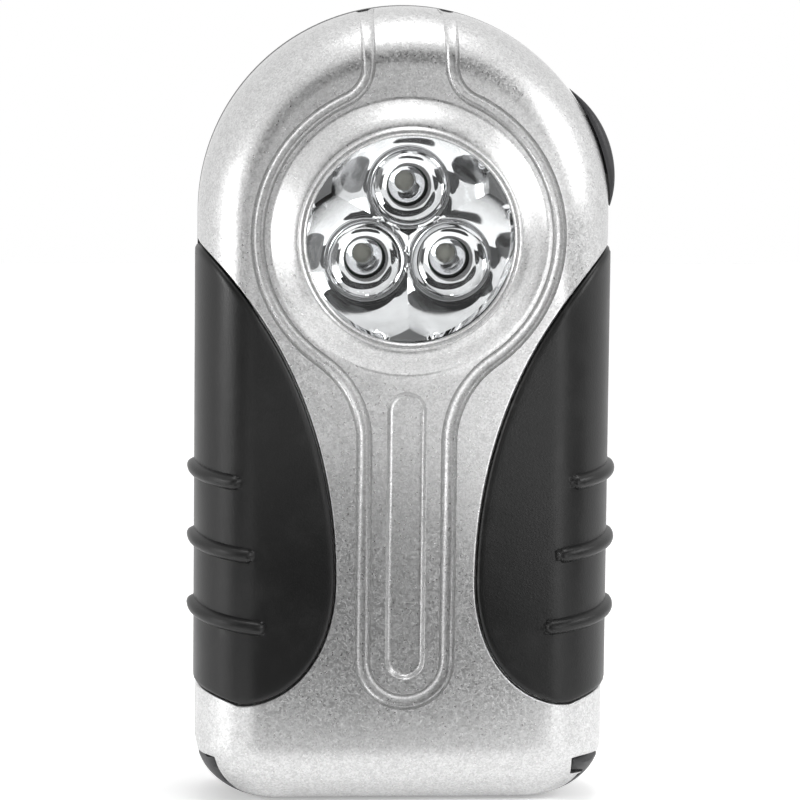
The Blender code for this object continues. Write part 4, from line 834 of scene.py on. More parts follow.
def build_foot(look):
    """The part of the rear shell that wraps forward under the silver one."""
    border = foot_border()
    flat, faces = sheet(border, fill=skin_fill(FRONT, np.linspace(1.5e-3, FRONT.length + 0.004, 14)))
    into = away_from(flat, border, True)
    shape = FRONT.raised(flat, faces, lambda places: -np.interp(into, SOFT_EDGE[0], (0.00014, 0.00004, 0)))
    draw_on(shape, border_edges(shape), lambda p: sunk(p, 0.0012))
    add_piece("rear_foot", shape, look, fold=50)


def door_loop(clearance):
    """The battery door's outline: small corners below, larger ones above."""
    half, bottom, top = 0.0172 + clearance, 0.0090 - clearance, DOOR_TOP + clearance
    foot, head = 0.0006 + clearance, 0.0020 + clearance
    line = (arc(half - foot, bottom + foot, foot, -pi / 2, 0, 8) + arc(half - head, top - head, head, 0, pi / 2, 12)
            + arc(-half + head, top - head, head, pi / 2, pi, 12)
            + arc(-half + foot, bottom + foot, foot, pi, 1.5 * pi, 8))
    return spaced(line + line[:1], 0.0006)[:-1]


def rear_relief(places):
    """Rear skin: soft edges at the door and screws, the thumb scoop and a shallow pressed ring."""
    points = places[:, [0, 2]]
    out = -np.interp(away_from(points, door_loop(DOOR_GAP), True), *SOFT_EDGE)
    for x, z in SCREWS:
        out -= np.interp(np.hypot(points[:, 0] - x, points[:, 1] - z) - SCREW_HOLE, *SOFT_EDGE)
    scoop = np.hypot(points[:, 0], points[:, 1] - SCOOP_Z)
    out -= np.where(scoop < SCOOP_RADIUS, SCOOP_DEPTH * (1 - (scoop / SCOOP_RADIUS) ** 2), 0)
    pressed_ring = away_from(points, ring(0, LENS_Z, BACK_RING), True)
    return out - BACK_RING_DEPTH * np.clip(1 - (pressed_ring / LINE_HALF) ** 2, 0, 1)


def build_rear_shell(look):
    """The dark rear shell, open at the door and the screws, and its foot."""
    scoop_low, rim_behind, openings_before = 0.0583, 0.006, 0.0085
    seam = REAR.length + (REAR_Y - REAR.depth) - (SEAM_Y + GAP / 2)
    border = [seam_point(*p, REAR.across - seam) for p in outline(0.0)]
    loops = [door_loop(DOOR_GAP + d) for d in SOFT_EDGE[0][1:]]
    loops += [ring(x, z, SCREW_HOLE + d, 0.0004) for x, z in SCREWS for d in SOFT_EDGE[0][1:]]
    loops += [ring(0, LENS_Z, BACK_RING + d, 0.0006) for d in LINE_SIDES]
    scoop = np.vstack([ring(0, SCOOP_Z, r, 0.0004) for r in (0.0012, 0.0024, 0.0036, 0.0043, SCOOP_RADIUS)])
    holes = [door_loop(DOOR_GAP)] + [ring(x, z, SCREW_HOLE, 0.0004) for x, z in SCREWS]
    fill = np.vstack((skin_fill(REAR, np.linspace(0, seam, 16), 0.001), scoop[scoop[:, 1] > scoop_low],
                      grid(0.022, np.arange(0.006, 0.104, 0.002), 0.002, 0.0065)))
    flat, faces = sheet(without_repeats(border), (), [REAR.unroll(line) for line in loops],
                        [REAR.unroll(line) for line in holes], fill)
    shape = REAR.raised(flat, faces, rear_relief)
    rim = border_edges(shape, lambda e: max(v.co.y for v in e.verts) < rim_behind)
    openings = border_edges(shape, lambda e: min(v.co.y for v in e.verts) > openings_before)
    draw_on(shape, rim, lambda p: pressed(p, 0.0002, -0.0001 * (p.z > FOOT_TOP)),
            lambda p: pressed(p, WALL, 0.0), lambda p: Vector((p.x, p.y + 0.003, p.z)))
    draw_on(shape, openings, at_depth(BACK_INNER_Y))
    add_piece("rear_case", shape, look, "rear_shell")
    build_foot(look)


def block(shape, middle_x, half, y0, y1, z0, z1):
    """A small box with softened edges, added to a bmesh."""
    made = bmesh.ops.create_cube(shape, size=1.0)["verts"]
    for corner in made:
        corner.co = Vector((middle_x + corner.co.x * half * 2, (y0 + y1) / 2 + corner.co.y * (y1 - y0),
                            (z0 + z1) / 2 + corner.co.z * (z1 - z0)))
    edges = list({e for v in made for e in v.link_edges})
    bmesh.ops.bevel(shape, geom=edges, offset=0.00008, segments=2, affect="EDGES")


def build_door(look):
    """The battery door: round lower edge, finger ridges, tuck tabs and a catch nib."""
    border = door_loop(0.0)
    ridges = [DOOR_TOP - 0.0042 - RIDGE_PITCH * k for k in range(4)]
    end = RIDGE_END_X + LINE_HALF
    runs = [spaced([(-end, z + d), (end, z + d)], 0.0004) for z in ridges for d in LINE_SIDES]
    fill = np.vstack((grid(0.017, np.arange(0.0095, DOOR_TOP, 0.0015), 0.0015),
                      grid(0.017, [0.0092, 0.0095, 0.0098, 0.0101], 0.0012)))
    flat, faces = sheet(border, runs, [door_loop(-d) for d in SOFT_EDGE[0][1:]], (), fill)
    x, z = flat.T
    y = REAR_Y - np.interp(away_from(flat, border, True), *SOFT_EDGE)
    for ridge in ridges:
        off = np.hypot(np.maximum(np.abs(x) - RIDGE_END_X, 0), z - ridge)
        y = y + RIDGE_HEIGHT * np.sqrt(np.clip(1 - (off / LINE_HALF) ** 2, 0, 1))
    round_by, low = 0.0011, 0.0101
    y = y - round_by * (1 - np.sqrt(1 - np.clip((low - z) / round_by, 0, 1) ** 2))
    shape = shape_from(np.stack((x, y, z), 1), faces)
    draw_on(shape, border_edges(shape),
            lambda p: Vector((p.x, min(p.y, BACK_INNER_Y) if p.z > 0.0095 else p.y, p.z)))
    back, tuck = BACK_INNER_Y, 0.0127
    block(shape, 0.0, 0.0168, back, back + 0.0010, low, DOOR_TOP - 0.0004)
    block(shape, 0.0, 0.0030, back, back + 0.0009, DOOR_TOP - 0.0005, DOOR_TOP + 0.0009)
    for middle in (-0.00545, 0.00545):
        block(shape, middle, 0.00125, back - 0.0009, back - 0.0003, 0.0077, tuck)
        block(shape, middle, 0.00125, back - 0.0006, back + 0.0003, 0.0103, tuck)
    add_piece("rear_door", shape, look, "battery_door", body="door")


def cross_loop(half, reach):
    """The outline of a cross recess."""
    corners = [(half, half), (reach, half), (reach, -half), (half, -half), (half, -reach), (-half, -reach),
               (-half, -half), (-reach, -half), (-reach, half), (-half, half), (-half, reach), (half, reach)]
    return spaced(corners + corners[:1], 0.00015)[:-1]


def build_case_screws(look):
    """Pan heads with a cross recess, seated in their counterbores."""
    top, seat, head, shank_end = 0.0102, 0.0086, 0.0023, SEAM_Y - 0.004
    cross = cross_loop(0.00032, 0.00125)
    loops = [cross, cross_loop(0.00022, 0.00112)] + [ring(0, 0, r, 0.00025) for r in (0.0015, 0.0019, 0.0021, 0.0022)]
    flat, faces = sheet(ring(0, 0, head, 0.0003), loops=loops)
    radius = np.hypot(*flat.T)
    y = top - 0.00055 * (radius / head) ** 4 - 0.0001 * (radius / head) ** 2
    y -= 0.0008 * np.interp(depth_inside(flat, cross), [0, 0.0001], [0, 1]) * np.clip(1.25 - radius / 0.0015, 0.2, 1)
    for number, (x, z) in enumerate(SCREWS, start=1):
        shape = shape_from(np.stack((flat[:, 0] + x, y, flat[:, 1] + z), 1), faces)
        draw_on(shape, border_edges(shape), at_depth(seat),
                lambda p: Vector((x + (p.x - x) * 0.52, seat, z + (p.z - z) * 0.52)), at_depth(shank_end))
        add_piece(f"rear_screw_{number}", shape, look, f"case_screw_{number}", fold=35)


# Radius and height of a cell: over its flat end the rolled rim and sleeve, and below its other end the rest of
# the sleeve, the shoulder and the contact button
CELL_FOOT = ((0.0, 0.0), (0.0040, 0.0), (0.0043, 0.0002), (0.0047, 0.0003), (0.0050, 0.0005), (0.0052, 0.0009),
             (0.00525, 0.0014))
CELL_HEAD = ((0.00525, -0.0024), (0.0052, -0.0019), (0.0049, -0.0014), (0.0045, -0.0012), (0.0043, -0.0012),
             (0.0042, -0.0010), (0.0022, -0.0010), (0.0019, -0.0008), (0.00185, -0.0002), (0.0017, 0.0), (0.0, 0.0))


def build_cells(look):
    """The three round cells in plain sleeves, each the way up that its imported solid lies."""
    end_depth, button_limit = 0.0002, 0.003
    for number in (1, 2, 3):
        node = f"cell_{number}"
        low, high = (np.array(corner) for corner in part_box(node))
        middle, height = (low + high) / 2, high[2] - low[2]
        corners = np.array([v.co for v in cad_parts[node].data.vertices])
        top = corners[corners[:, 2] > high[2] - end_depth]
        button_up = np.max(np.hypot(top[:, 0] - middle[0], top[:, 1] - middle[1])) < button_limit
        shape = turned([*CELL_FOOT, *[(r, height + up) for r, up in CELL_HEAD]], 0, 0)
        for vert in shape.verts:
            x, up, y = vert.co
            vert.co = (middle[0] + x, middle[1] + y, low[2] + up if button_up else high[2] - up)
        add_piece(f"round_cell_{number}", shape, look, node, fold=35)


def add_node(tree, kind, sockets, **settings):
    """A shader node with its settings, whose inputs are set to values or wired to other sockets."""
    node = tree.nodes.new("ShaderNode" + kind)
    for name, value in settings.items():
        setattr(node, name, value)
    plug(tree, node, sockets)
    return node


def plug(tree, node, sockets):
    for key, value in sockets.items():
        if isinstance(value, bpy.types.NodeSocket):
            tree.links.new(value, node.inputs[key])
        else:
            node.inputs[key].default_value = value


def calc(tree, operation, first, second, clamp=False):
    return add_node(tree, "Math", {0: first, 1: second}, operation=operation, use_clamp=clamp).outputs[0]


def swing(tree, value, factor, middle=0.5, clamp=False):
    """How far a value lies from its middle, times a factor."""
    return calc(tree, "MULTIPLY", calc(tree, "SUBTRACT", value, middle), factor, clamp)


def scaled(tree, value, factor, offset):
    return calc(tree, "ADD", calc(tree, "MULTIPLY", value, factor), offset)


def shaded(tree, colour, level):
    """A colour made lighter or darker by a level."""
    return add_node(tree, "VectorMath", {0: colour, "Scale": level}, operation="SCALE").outputs[0]


def noise(tree, scale, detail, rough, place):
    sockets = {"Scale": scale, "Detail": detail, "Roughness": rough, "Vector": place}
    return add_node(tree, "TexNoise", sockets).outputs["Fac"]


def object_place(tree):
    return tree.nodes.new("ShaderNodeTexCoord").outputs["Object"]


def flake_nodes(tree, given):
    """Sparkle of metallic paint: small cells that are lighter or darker, and a fine orange peel."""
    place = object_place(tree)
    cells = add_node(tree, "TexVoronoi", {"Scale": given["Flake Scale"], "Vector": place})
    red, green, blue = add_node(tree, "SeparateColor", {0: cells.outputs["Color"]}).outputs
    mist, cloud = noise(tree, 900.0, 2.0, 0.5, place), noise(tree, 60.0, 3.0, 0.5, place)
    tint = calc(tree, "ADD", swing(tree, mist, 0.22), swing(tree, cloud, 0.10))
    level = calc(tree, "ADD", calc(tree, "ADD", swing(tree, red, given["Contrast"]), tint), 1.0)
    return shaded(tree, given["Colour"], level), scaled(tree, green, 0.18, 0.27), calc(tree, "ADD", blue, mist)


def moulded_nodes(tree, given):
    """Fine grain of moulded plastic or rubber, with faint cloudy wear and lighter sharp edges, which are partly
    scuffing and partly a painted edge highlight.
    """
    place = object_place(tree)
    grain, cloud = noise(tree, given["Grain Scale"], 3.0, 0.5, place), noise(tree, 140.0, 4.0, 0.6, place)
    edge = tree.nodes.new("ShaderNodeNewGeometry").outputs["Pointiness"]
    # Sharp convex edges turn lighter: partly scuffing, partly a painted edge highlight.
    rubbed_and_highlit_edge = calc(tree, "MULTIPLY", swing(tree, edge, 6.0, 0.52, clamp=True), cloud, clamp=True)
    spots = swing(tree, cloud, 0.5, clamp=True)
    wear_and_edge_highlight = calc(tree, "MULTIPLY", calc(tree, "ADD", rubbed_and_highlit_edge, spots), given["Wear"], clamp=True)
    mixed = add_node(tree, "Mix", {0: wear_and_edge_highlight, 6: given["Colour"], 7: given["Rubbed Colour"]}, data_type="RGBA")
    return mixed.outputs[2], calc(tree, "ADD", given["Roughness"], swing(tree, cloud, 0.18)), grain


def drawn_nodes(tree, given):
    """Fine drawn lines and faint stains of plated sheet metal."""
    place = object_place(tree)
    stretched = add_node(tree, "Mapping", {"Vector": place, "Scale": (0.05, 1.0, 1.0)}).outputs[0]
    lines = noise(tree, given["Line Scale"], 2.0, 0.5, stretched)
    level = scaled(tree, noise(tree, 220.0, 3.0, 0.6, place), 0.3, 0.85)
    return shaded(tree, given["Colour"], level), calc(tree, "ADD", swing(tree, lines, 0.3), given["Roughness"]), lines


GREY = (0.5, 0.5, 0.5, 1)
# The moulded grain's second colour and its amount make scuffed spots and sharp edges lighter, the edges partly as a
# painted highlight.
EFFECTS = {
    "metal_flake": (flake_nodes, {"Colour": GREY, "Flake Scale": 4800.0, "Contrast": 0.25}),
    "moulded_grain": (moulded_nodes, {"Colour": GREY, "Rubbed Colour": GREY, "Grain Scale": 2600.0,
                                      "Roughness": 0.5, "Wear": 0.3}),
    "drawn_metal": (drawn_nodes, {"Colour": GREY, "Line Scale": 3000.0, "Roughness": 0.25})}


def effect(name):
    """A shader node group that gives a colour, a roughness and a height; made once."""
    group = bpy.data.node_groups.get(name)
    if group is None:
        group = bpy.data.node_groups.new(name, "ShaderNodeTree")
        nodes, inputs = EFFECTS[name]
        for label, value in inputs.items():
            kind = "NodeSocketColor" if value is GREY else "NodeSocketFloat"
            group.interface.new_socket(label, in_out="INPUT", socket_type=kind).default_value = value
        results = {"Colour": "NodeSocketColor", "Roughness": "NodeSocketFloat", "Height": "NodeSocketFloat"}
        for label, kind in results.items():
            group.interface.new_socket(label, in_out="OUTPUT", socket_type=kind)
        made = nodes(group, group.nodes.new("NodeGroupInput").outputs)
        plug(group, group.nodes.new("NodeGroupOutput"), dict(zip(results, made)))
    return group


def new_material(name, sockets):
    """A Principled material with values set on the shader's own sockets."""
    made = bpy.data.materials.new(name)
    made.use_nodes = True
    shader = made.node_tree.nodes["Principled BSDF"]
    plug(made.node_tree, shader, sockets)
    return made, made.node_tree, shader


def finish_of(name, effect_name, values, bump, metallic=0.0, coat=0.0, specular=0.5):
    """A material whose colour, roughness and bump come from an effect group; made once."""
    if name in bpy.data.materials:
        return bpy.data.materials[name]
    made, tree, shader = new_material(name, {"Metallic": metallic, "Coat Weight": coat, "Coat Roughness": 0.25,
                                             "Specular IOR Level": specular})
    node = add_node(tree, "Group", values, node_tree=effect(effect_name))
    relief = add_node(tree, "Bump", {"Strength": 1.0, "Distance": bump, "Height": node.outputs["Height"]})
    plug(tree, shader, {"Base Color": node.outputs["Colour"], "Roughness": node.outputs["Roughness"],
                        "Normal": relief.outputs["Normal"]})
    return made


def clear_finish(name, colour, roughness):
    """Clear glass or epoxy with a faint uneven gloss; made once."""
    if name in bpy.data.materials:
        return bpy.data.materials[name]
    made, tree, shader = new_material(name, {"Base Color": (*colour, 1), "Transmission Weight": 1.0, "IOR": 1.45})
    film = noise(tree, 180.0, 2.0, 0.5, object_place(tree))
    plug(tree, shader, {"Roughness": scaled(tree, film, 0.02, roughness)})
    return made


def rgba(colour):
    return (*colour, 1.0)


def silver_paint(looks):
    return finish_of("painted_silver", "metal_flake", {
        "Colour": rgba(looks.silver_colour), "Flake Scale": 4800.0, "Contrast": looks.sparkle},
        0.000006, metallic=0.95, coat=0.1)


def charcoal_plastic(looks):
    # The lighter colour goes on scuffed spots and on sharp edges, where it is partly a painted edge highlight.
    return finish_of("matt_charcoal", "moulded_grain", {
        "Colour": rgba(looks.charcoal_colour), "Rubbed Colour": (0.16, 0.16, 0.165, 1),
        "Grain Scale": 2600.0, "Roughness": 0.42, "Wear": 0.35}, 0.00003, specular=0.3)


def black_rubber(looks):
    # The lighter colour goes on scuffed spots and on sharp edges, where it is partly a painted edge highlight.
    return finish_of("soft_rubber", "moulded_grain", {
        "Colour": rgba(looks.rubber_colour), "Rubbed Colour": (0.09, 0.09, 0.09, 1),
        "Grain Scale": 3400.0, "Roughness": 0.38, "Wear": 0.5}, 0.00002, specular=0.4)


def drawn_metal(name, colour, line_scale, roughness, bump):
    return finish_of(name, "drawn_metal", {"Colour": rgba(colour), "Line Scale": line_scale, "Roughness": roughness},
                     bump, metallic=1.0)


def bright_chrome():
    return drawn_metal("bright_chrome", (0.90, 0.90, 0.91), 500.0, 0.05, 0.0000002)


def nickel_plate():
    return drawn_metal("nickel_plate", (0.62, 0.60, 0.56), 2600.0, 0.28, 0.000004)


def zinc_steel():
    return drawn_metal("zinc_steel", (0.48, 0.48, 0.50), 3200.0, 0.33, 0.000005)


def plain_moulding(name, colour, roughness=0.45, metallic=0.0, coat=0.0):
    """Moulded plastic, lacquer or insulation in one colour, lighter on scuffed spots and on sharp edges, where the
    lighter edge is partly a painted highlight.
    """
    lighter = tuple(min(1.0, c * 1.6 + 0.04) for c in colour)
    return finish_of(name, "moulded_grain", {
        "Colour": rgba(colour), "Rubbed Colour": rgba(lighter), "Grain Scale": 2200.0,
        "Roughness": roughness, "Wear": 0.4}, 0.00001, metallic=metallic, coat=coat)


def dress_nodes(looks):
    """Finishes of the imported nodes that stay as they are, without touching their meshes."""
    plated = ["contact_spring_1", "contact_spring_2", "contact_spring_3", "bottom_bridge", "bottom_terminal",
              "top_terminal", "top_bridge"]
    for names, look in (
            (["switch_shoe"], charcoal_plastic(looks)),
            (["lens_gasket"], black_rubber(looks)),
            (["led_board"], plain_moulding("solder_mask", (0.02, 0.14, 0.06), 0.35, coat=0.4)),
            (["resistor"], plain_moulding("resistor_lacquer", (0.55, 0.40, 0.24), 0.35, coat=0.5)),
            (["board_screw_1", "board_screw_2"], zinc_steel()),
            (["switch_body"], plain_moulding("switch_moulding", (0.02, 0.02, 0.02), 0.35)),
            (["battery_tray"], plain_moulding("tray_moulding", (0.06, 0.06, 0.065), 0.5)),
            (plated, nickel_plate()),
            (["wire_positive"], plain_moulding("red_insulation", (0.45, 0.02, 0.02), 0.35)),
            (["wire_negative"], plain_moulding("black_insulation", (0.02, 0.02, 0.02), 0.35))):
        for name in names:
            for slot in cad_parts[name].material_slots:
                slot.material = look


def placed(name, data, place, towards, front="-Z"):
    """A linked object at a place, its front turned along a direction."""
    holder = bpy.data.objects.new(name, data)
    bpy.context.scene.collection.objects.link(holder)
    holder.location = place
    holder.rotation_euler = towards.to_track_quat(front, "Y").to_euler()
    return holder


def add_lamp(name, place, width, height, power):
    """A soft rectangular lamp turned towards the torch's middle."""
    light = bpy.data.lights.new(name, "AREA")
    light.shape = "RECTANGLE"
    light.size, light.size_y, light.energy = width, height, power
    placed(name, light, place, Vector((0.0, 0.0, HEIGHT / 2)) - Vector(place)).visible_camera = False


# Name, place, width, height and the setting that holds the power
LAMPS = (
    ("main_lamp", (0.26, -0.15, 0.18), 0.16, 0.16, "main_power"),
    ("left_strip", (-0.186, -0.073, 0.055), 0.02, 0.11, "strip_power"),
    ("low_front", (0.075, -0.20, 0.035), 0.06, 0.06, "front_power"),
    ("top_lamp", (0.02, -0.03, 0.50), 0.18, 0.18, "top_power"))
# Name, place, width, height and grey level; they stand round the front, out of the camera's sight
STUDIO_CARDS = (
    ("card_ahead", (-0.004, -0.20, 0.052), 0.10, 0.14, 0.17),
    ("card_upper_left", (-0.11, -0.19, 0.15), 0.11, 0.13, 0.04),
    ("card_upper_right", (0.12, -0.18, 0.17), 0.08, 0.12, 0.06),
    ("card_lower_left", (-0.14, -0.17, 0.03), 0.10, 0.11, 0.04),
    ("card_lower_right", (0.15, -0.16, 0.03), 0.08, 0.10, 0.10),
    ("card_overhead", (0.03, -0.145, 0.185), 0.30, 0.10, 0.02),
    ("card_at_foot", (0.0, -0.05, 0.013), 0.056, 0.05, 0.05),
    ("card_low_left", (-0.10, -0.055, 0.03), 0.07, 0.07, 0.05),
    ("card_low_right", (0.11, -0.06, 0.04), 0.07, 0.08, 0.25))


def dark_card(name, place, width, height, level, corners=64):
    """A dark oval studio card that only reflections see, turned towards the torch."""
    card = bpy.data.meshes.new(name)
    turns = np.linspace(0, 2 * pi, corners, endpoint=False)
    card.from_pydata([(width / 2 * cos(t), height / 2 * sin(t), 0) for t in turns], [], [tuple(range(corners))])
    material, _, _ = new_material(name, {"Base Color": (0, 0, 0, 1), "Specular IOR Level": 0.0,
                                         "Emission Color": (level, level, level, 1), "Emission Strength": 1.0})
    card.materials.append(material)
    holder = placed(name, card, place, Vector(place) - Vector((0.0, 0.0, min(place[2], HEAD_Z))), "Z")
    holder.visible_camera = holder.visible_diffuse = holder.visible_shadow = False


def seen_rays(tree):
    """1 for what the eye, a reflection or clear glass looks at, 0 for light that falls on the torch."""
    ray = tree.nodes.new("ShaderNodeLightPath").outputs
    mirrored = calc(tree, "MAXIMUM", ray["Is Glossy Ray"], ray["Is Transmission Ray"])
    return calc(tree, "MAXIMUM", ray["Is Camera Ray"], mirrored)


def pale_world(level):
    """White where it is seen or mirrored; as light it is stronger from the sides and from above."""
    world = bpy.data.worlds.new("studio_world")
    bpy.context.scene.world = world
    world.use_nodes = True
    tree = world.node_tree
    lit = tree.nodes["Background"]
    way = tree.nodes.new("ShaderNodeTexCoord").outputs["Generated"]
    x, _, z = add_node(tree, "SeparateXYZ", {0: way}).outputs
    sideways = calc(tree, "MAXIMUM", x, calc(tree, "MULTIPLY", x, -0.6))
    open_sky = calc(tree, "MAXIMUM", sideways, calc(tree, "MULTIPLY", z, 0.8))
    spread = add_node(tree, "MapRange", {"Value": open_sky, "From Min": 0.30, "From Max": 0.75,
                                         "To Min": level * 0.15, "To Max": level * 2.0})
    plug(tree, lit, {"Strength": 1.0, "Color": spread.outputs[0]})
    seen = add_node(tree, "Background", {"Color": (1, 1, 1, 1), "Strength": 1.0})
    mix = add_node(tree, "MixShader", {0: seen_rays(tree), 1: lit.outputs[0], 2: seen.outputs[0]})
    plug(tree, tree.nodes["World Output"], {"Surface": mix.outputs[0]})


def pale_floor(glow):
    """A wide plain floor that keeps the torch's shadow."""
    half = 0.6
    mesh = bpy.data.meshes.new("pale_floor")
    mesh.from_pydata([(-half, -half, 0), (half, -half, 0), (half, half, 0), (-half, half, 0)], [], [(0, 1, 2, 3)])
    floor = bpy.data.objects.new("pale_floor", mesh)
    bpy.context.scene.collection.objects.link(floor)
    material, tree, shader = new_material("pale_floor", {
        "Base Color": (0.93, 0.93, 0.93, 1), "Roughness": 0.85, "Specular IOR Level": 0.1,
        "Emission Color": (1, 1, 1, 1)})
    plug(tree, shader, {"Emission Strength": calc(tree, "MULTIPLY", seen_rays(tree), glow)})
    mesh.materials.append(material)


def photo_camera(settings):
    """The camera at the photo's angle, for a square picture."""
    camera = bpy.data.cameras.new("photo_camera")
    camera.sensor_fit, camera.sensor_width = "HORIZONTAL", 36.0
    camera.lens = settings.camera_lens
    camera.clip_start, camera.clip_end = 0.01, 10.0
    turn, lift = settings.camera_azimuth, settings.camera_elevation
    back = Vector((sin(turn) * cos(lift), -cos(turn) * cos(lift), sin(lift)))
    holder = placed("photo_camera", camera, Vector(settings.camera_aim) + back * settings.camera_distance, -back)
    facing = (-back).to_track_quat("-Z", "Y").to_matrix().to_4x4()
    holder.matrix_world = Matrix.Translation(holder.location) @ facing @ Matrix.Rotation(settings.camera_roll, 4, "Z")
    bpy.context.scene.camera = holder


def build_studio(settings):
    bpy.context.scene.view_settings.view_transform = "Standard"
    photo_camera(settings)
    pale_world(settings.world_level)
    pale_floor(settings.floor_glow)
    for name, place, width, height, power in LAMPS:
        add_lamp(name, place, width, height, getattr(settings, power))
    for card in STUDIO_CARDS:
        dark_card(*card)


class StudioSettings(bpy.types.PropertyGroup):
    """Camera, lamps and floor."""
    camera_azimuth: FloatProperty(name="Azimuth", description="Turn of the camera round the torch",
                                  default=radians(-4.5), subtype="ANGLE")
    camera_elevation: FloatProperty(name="Elevation", description="Camera height above the horizon",
                                    default=radians(8.5), subtype="ANGLE")
    camera_roll: FloatProperty(name="Roll", description="Turn of the picture", default=radians(0.6), subtype="ANGLE")
    camera_distance: FloatProperty(name="Distance", description="From the torch's middle to the camera",
                                   default=0.75, unit="LENGTH")
    camera_lens: FloatProperty(name="Lens", description="Focal length in millimetres", default=244.5)
    camera_aim: FloatVectorProperty(name="Aim", description="Point at the middle of the picture",
                                    default=(-0.0003, -0.002, 0.0558), subtype="TRANSLATION")
    main_power: FloatProperty(name="Main lamp", description="Power of the lamp at the right",
                              default=0.40, unit="POWER")
    strip_power: FloatProperty(name="Left strip", description="Power of the tall strip at the left",
                               default=0.13, unit="POWER")
    front_power: FloatProperty(name="Low front lamp", description="Power of the small soft lamp low ahead",
                               default=0.035, unit="POWER")
    top_power: FloatProperty(name="Top lamp", description="Power of the lamp above", default=0.65, unit="POWER")
    world_level: FloatProperty(name="World", description="Even light from all round", default=0.45)
    floor_glow: FloatProperty(name="Floor glow", description="How far the floor is lifted towards white",
                              default=0.38)


class ShellSettings(bpy.types.PropertyGroup):
    """Depths of what is pressed into the silver shell."""
    groove_depth: FloatProperty(name="Groove depth", description="Depth of the keyhole groove",
                                default=0.0010, unit="LENGTH")
    pocket_depth: FloatProperty(name="Pocket depth", description="Depth of the long pocket in the neck",
                                default=0.0009, unit="LENGTH")


class GripSettings(bpy.types.PropertyGroup):
    """Rubber grips."""
    bead_radius: FloatProperty(name="Bead radius", description="Radius of the round beads on the grips",
                               default=0.0010, unit="LENGTH")


class FinishSettings(bpy.types.PropertyGroup):
    """Colours of the torch's finishes."""
    silver_colour: FloatVectorProperty(name="Silver", description="Metallic paint",
                                       default=(0.62, 0.62, 0.62), subtype="COLOR", min=0, max=1)
    sparkle: FloatProperty(name="Sparkle", description="How strongly the paint's flakes differ",
                           default=0.30, min=0, max=1)
    charcoal_colour: FloatVectorProperty(name="Charcoal", description="Rear shell, door and slider",
                                         default=(0.030, 0.030, 0.032), subtype="COLOR", min=0, max=1)
    rubber_colour: FloatVectorProperty(name="Rubber", description="Side grips",
                                       default=(0.005, 0.005, 0.005), subtype="COLOR", min=0, max=1)


class TORCH_OT_studio(bpy.types.Operator):
    """Set up the camera, lamps, cards and pale floor"""
    bl_idname = "torch.studio"
    bl_label = "Studio"

    def execute(self, context):
        build_studio(context.scene.torch_studio)
        return {"FINISHED"}


class TORCH_OT_plain_nodes(bpy.types.Operator):
    """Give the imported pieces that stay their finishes"""
    bl_idname = "torch.plain_nodes"
    bl_label = "Inner pieces"

    def execute(self, context):
        dress_nodes(context.scene.torch_finish)
        return {"FINISHED"}


class TORCH_OT_silver_shell(bpy.types.Operator):
    """Build the silver front shell with its bezel, groove and pocket"""
    bl_idname = "torch.silver_shell"
    bl_label = "Silver shell"

    def execute(self, context):
        build_silver_shell(context.scene.torch_shell, silver_paint(context.scene.torch_finish))
        return {"FINISHED"}


class TORCH_OT_optics(bpy.types.Operator):
    """Build the reflector, the LEDs and the clear window"""
    bl_idname = "torch.optics"
    bl_label = "Reflector, LEDs and window"

    def execute(self, context):
        build_reflector(bright_chrome())
        build_leds(clear_finish("clear_epoxy", (0.95, 0.96, 0.97), 0.03), bright_chrome(),
                   plain_moulding("phosphor", (0.85, 0.83, 0.72), 0.5))
        build_lens(clear_finish("clear_window", (0.97, 0.98, 0.98), 0.01))
        return {"FINISHED"}


class TORCH_OT_grips(bpy.types.Operator):
    """Build the two rubber grips with their beads"""
    bl_idname = "torch.grips"
    bl_label = "Rubber grips"

    def execute(self, context):
        for side in (-1, 1):
            build_grip(side, black_rubber(context.scene.torch_finish), context.scene.torch_grips.bead_radius)
        return {"FINISHED"}


class TORCH_OT_slider(bpy.types.Operator):
    """Build the thumb slider"""
    bl_idname = "torch.slider"
    bl_label = "Thumb slider"

    def execute(self, context):
        build_slider_knob(charcoal_plastic(context.scene.torch_finish))
        return {"FINISHED"}


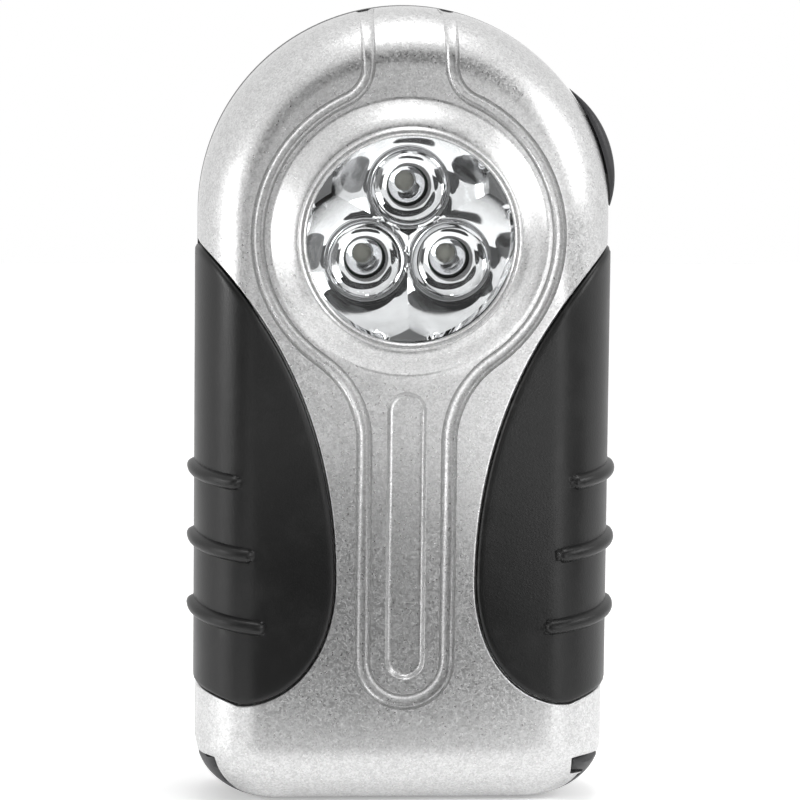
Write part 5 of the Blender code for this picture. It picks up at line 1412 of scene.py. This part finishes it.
class TORCH_OT_back(bpy.types.Operator):
    """Build the rear shell with its foot, the battery door and the case screws"""
    bl_idname = "torch.back"
    bl_label = "Rear shell, door and screws"

    def execute(self, context):
        build_rear_shell(charcoal_plastic(context.scene.torch_finish))
        build_door(charcoal_plastic(context.scene.torch_finish))
        build_case_screws(zinc_steel())
        return {"FINISHED"}


class TORCH_OT_cells(bpy.types.Operator):
    """Build the three round cells behind the battery door"""
    bl_idname = "torch.cells"
    bl_label = "Cells"

    def execute(self, context):
        build_cells(plain_moulding("cell_sleeve", (0.10, 0.10, 0.115), 0.3, metallic=0.35, coat=0.5))
        return {"FINISHED"}


OPERATORS = (TORCH_OT_studio, TORCH_OT_plain_nodes, TORCH_OT_silver_shell, TORCH_OT_optics,
             TORCH_OT_grips, TORCH_OT_slider, TORCH_OT_back, TORCH_OT_cells)
GROUPS = {"torch_studio": StudioSettings, "torch_shell": ShellSettings, "torch_grips": GripSettings,
          "torch_finish": FinishSettings}


class TORCH_PT_build(bpy.types.Panel):
    """Builds the torch piece by piece"""
    bl_label = "Pocket torch"
    bl_idname = "TORCH_PT_build"
    bl_space_type = "VIEW_3D"
    bl_region_type = "UI"
    bl_category = "Torch"

    def draw(self, context):
        for operator in OPERATORS:
            self.layout.operator(operator.bl_idname)
        for group, settings in GROUPS.items():
            box = self.layout.box()
            for name in settings.__annotations__:
                box.prop(getattr(context.scene, group), name)


CLASSES = (*GROUPS.values(), *OPERATORS, TORCH_PT_build)


def register():
    for made in CLASSES:
        bpy.utils.register_class(made)
    for name, group in GROUPS.items():
        setattr(bpy.types.Scene, name, PointerProperty(type=group))


def unregister():
    for name in GROUPS:
        delattr(bpy.types.Scene, name)
    for made in reversed(CLASSES):
        bpy.utils.unregister_class(made)


def main():
    register()
    bpy.ops.torch.studio()
    bpy.ops.torch.plain_nodes()
    bpy.ops.torch.silver_shell()
    bpy.ops.torch.optics()
    bpy.ops.torch.grips()
    bpy.ops.torch.slider()
    bpy.ops.torch.back()
    bpy.ops.torch.cells()


if __name__ == "__main__":
    main()
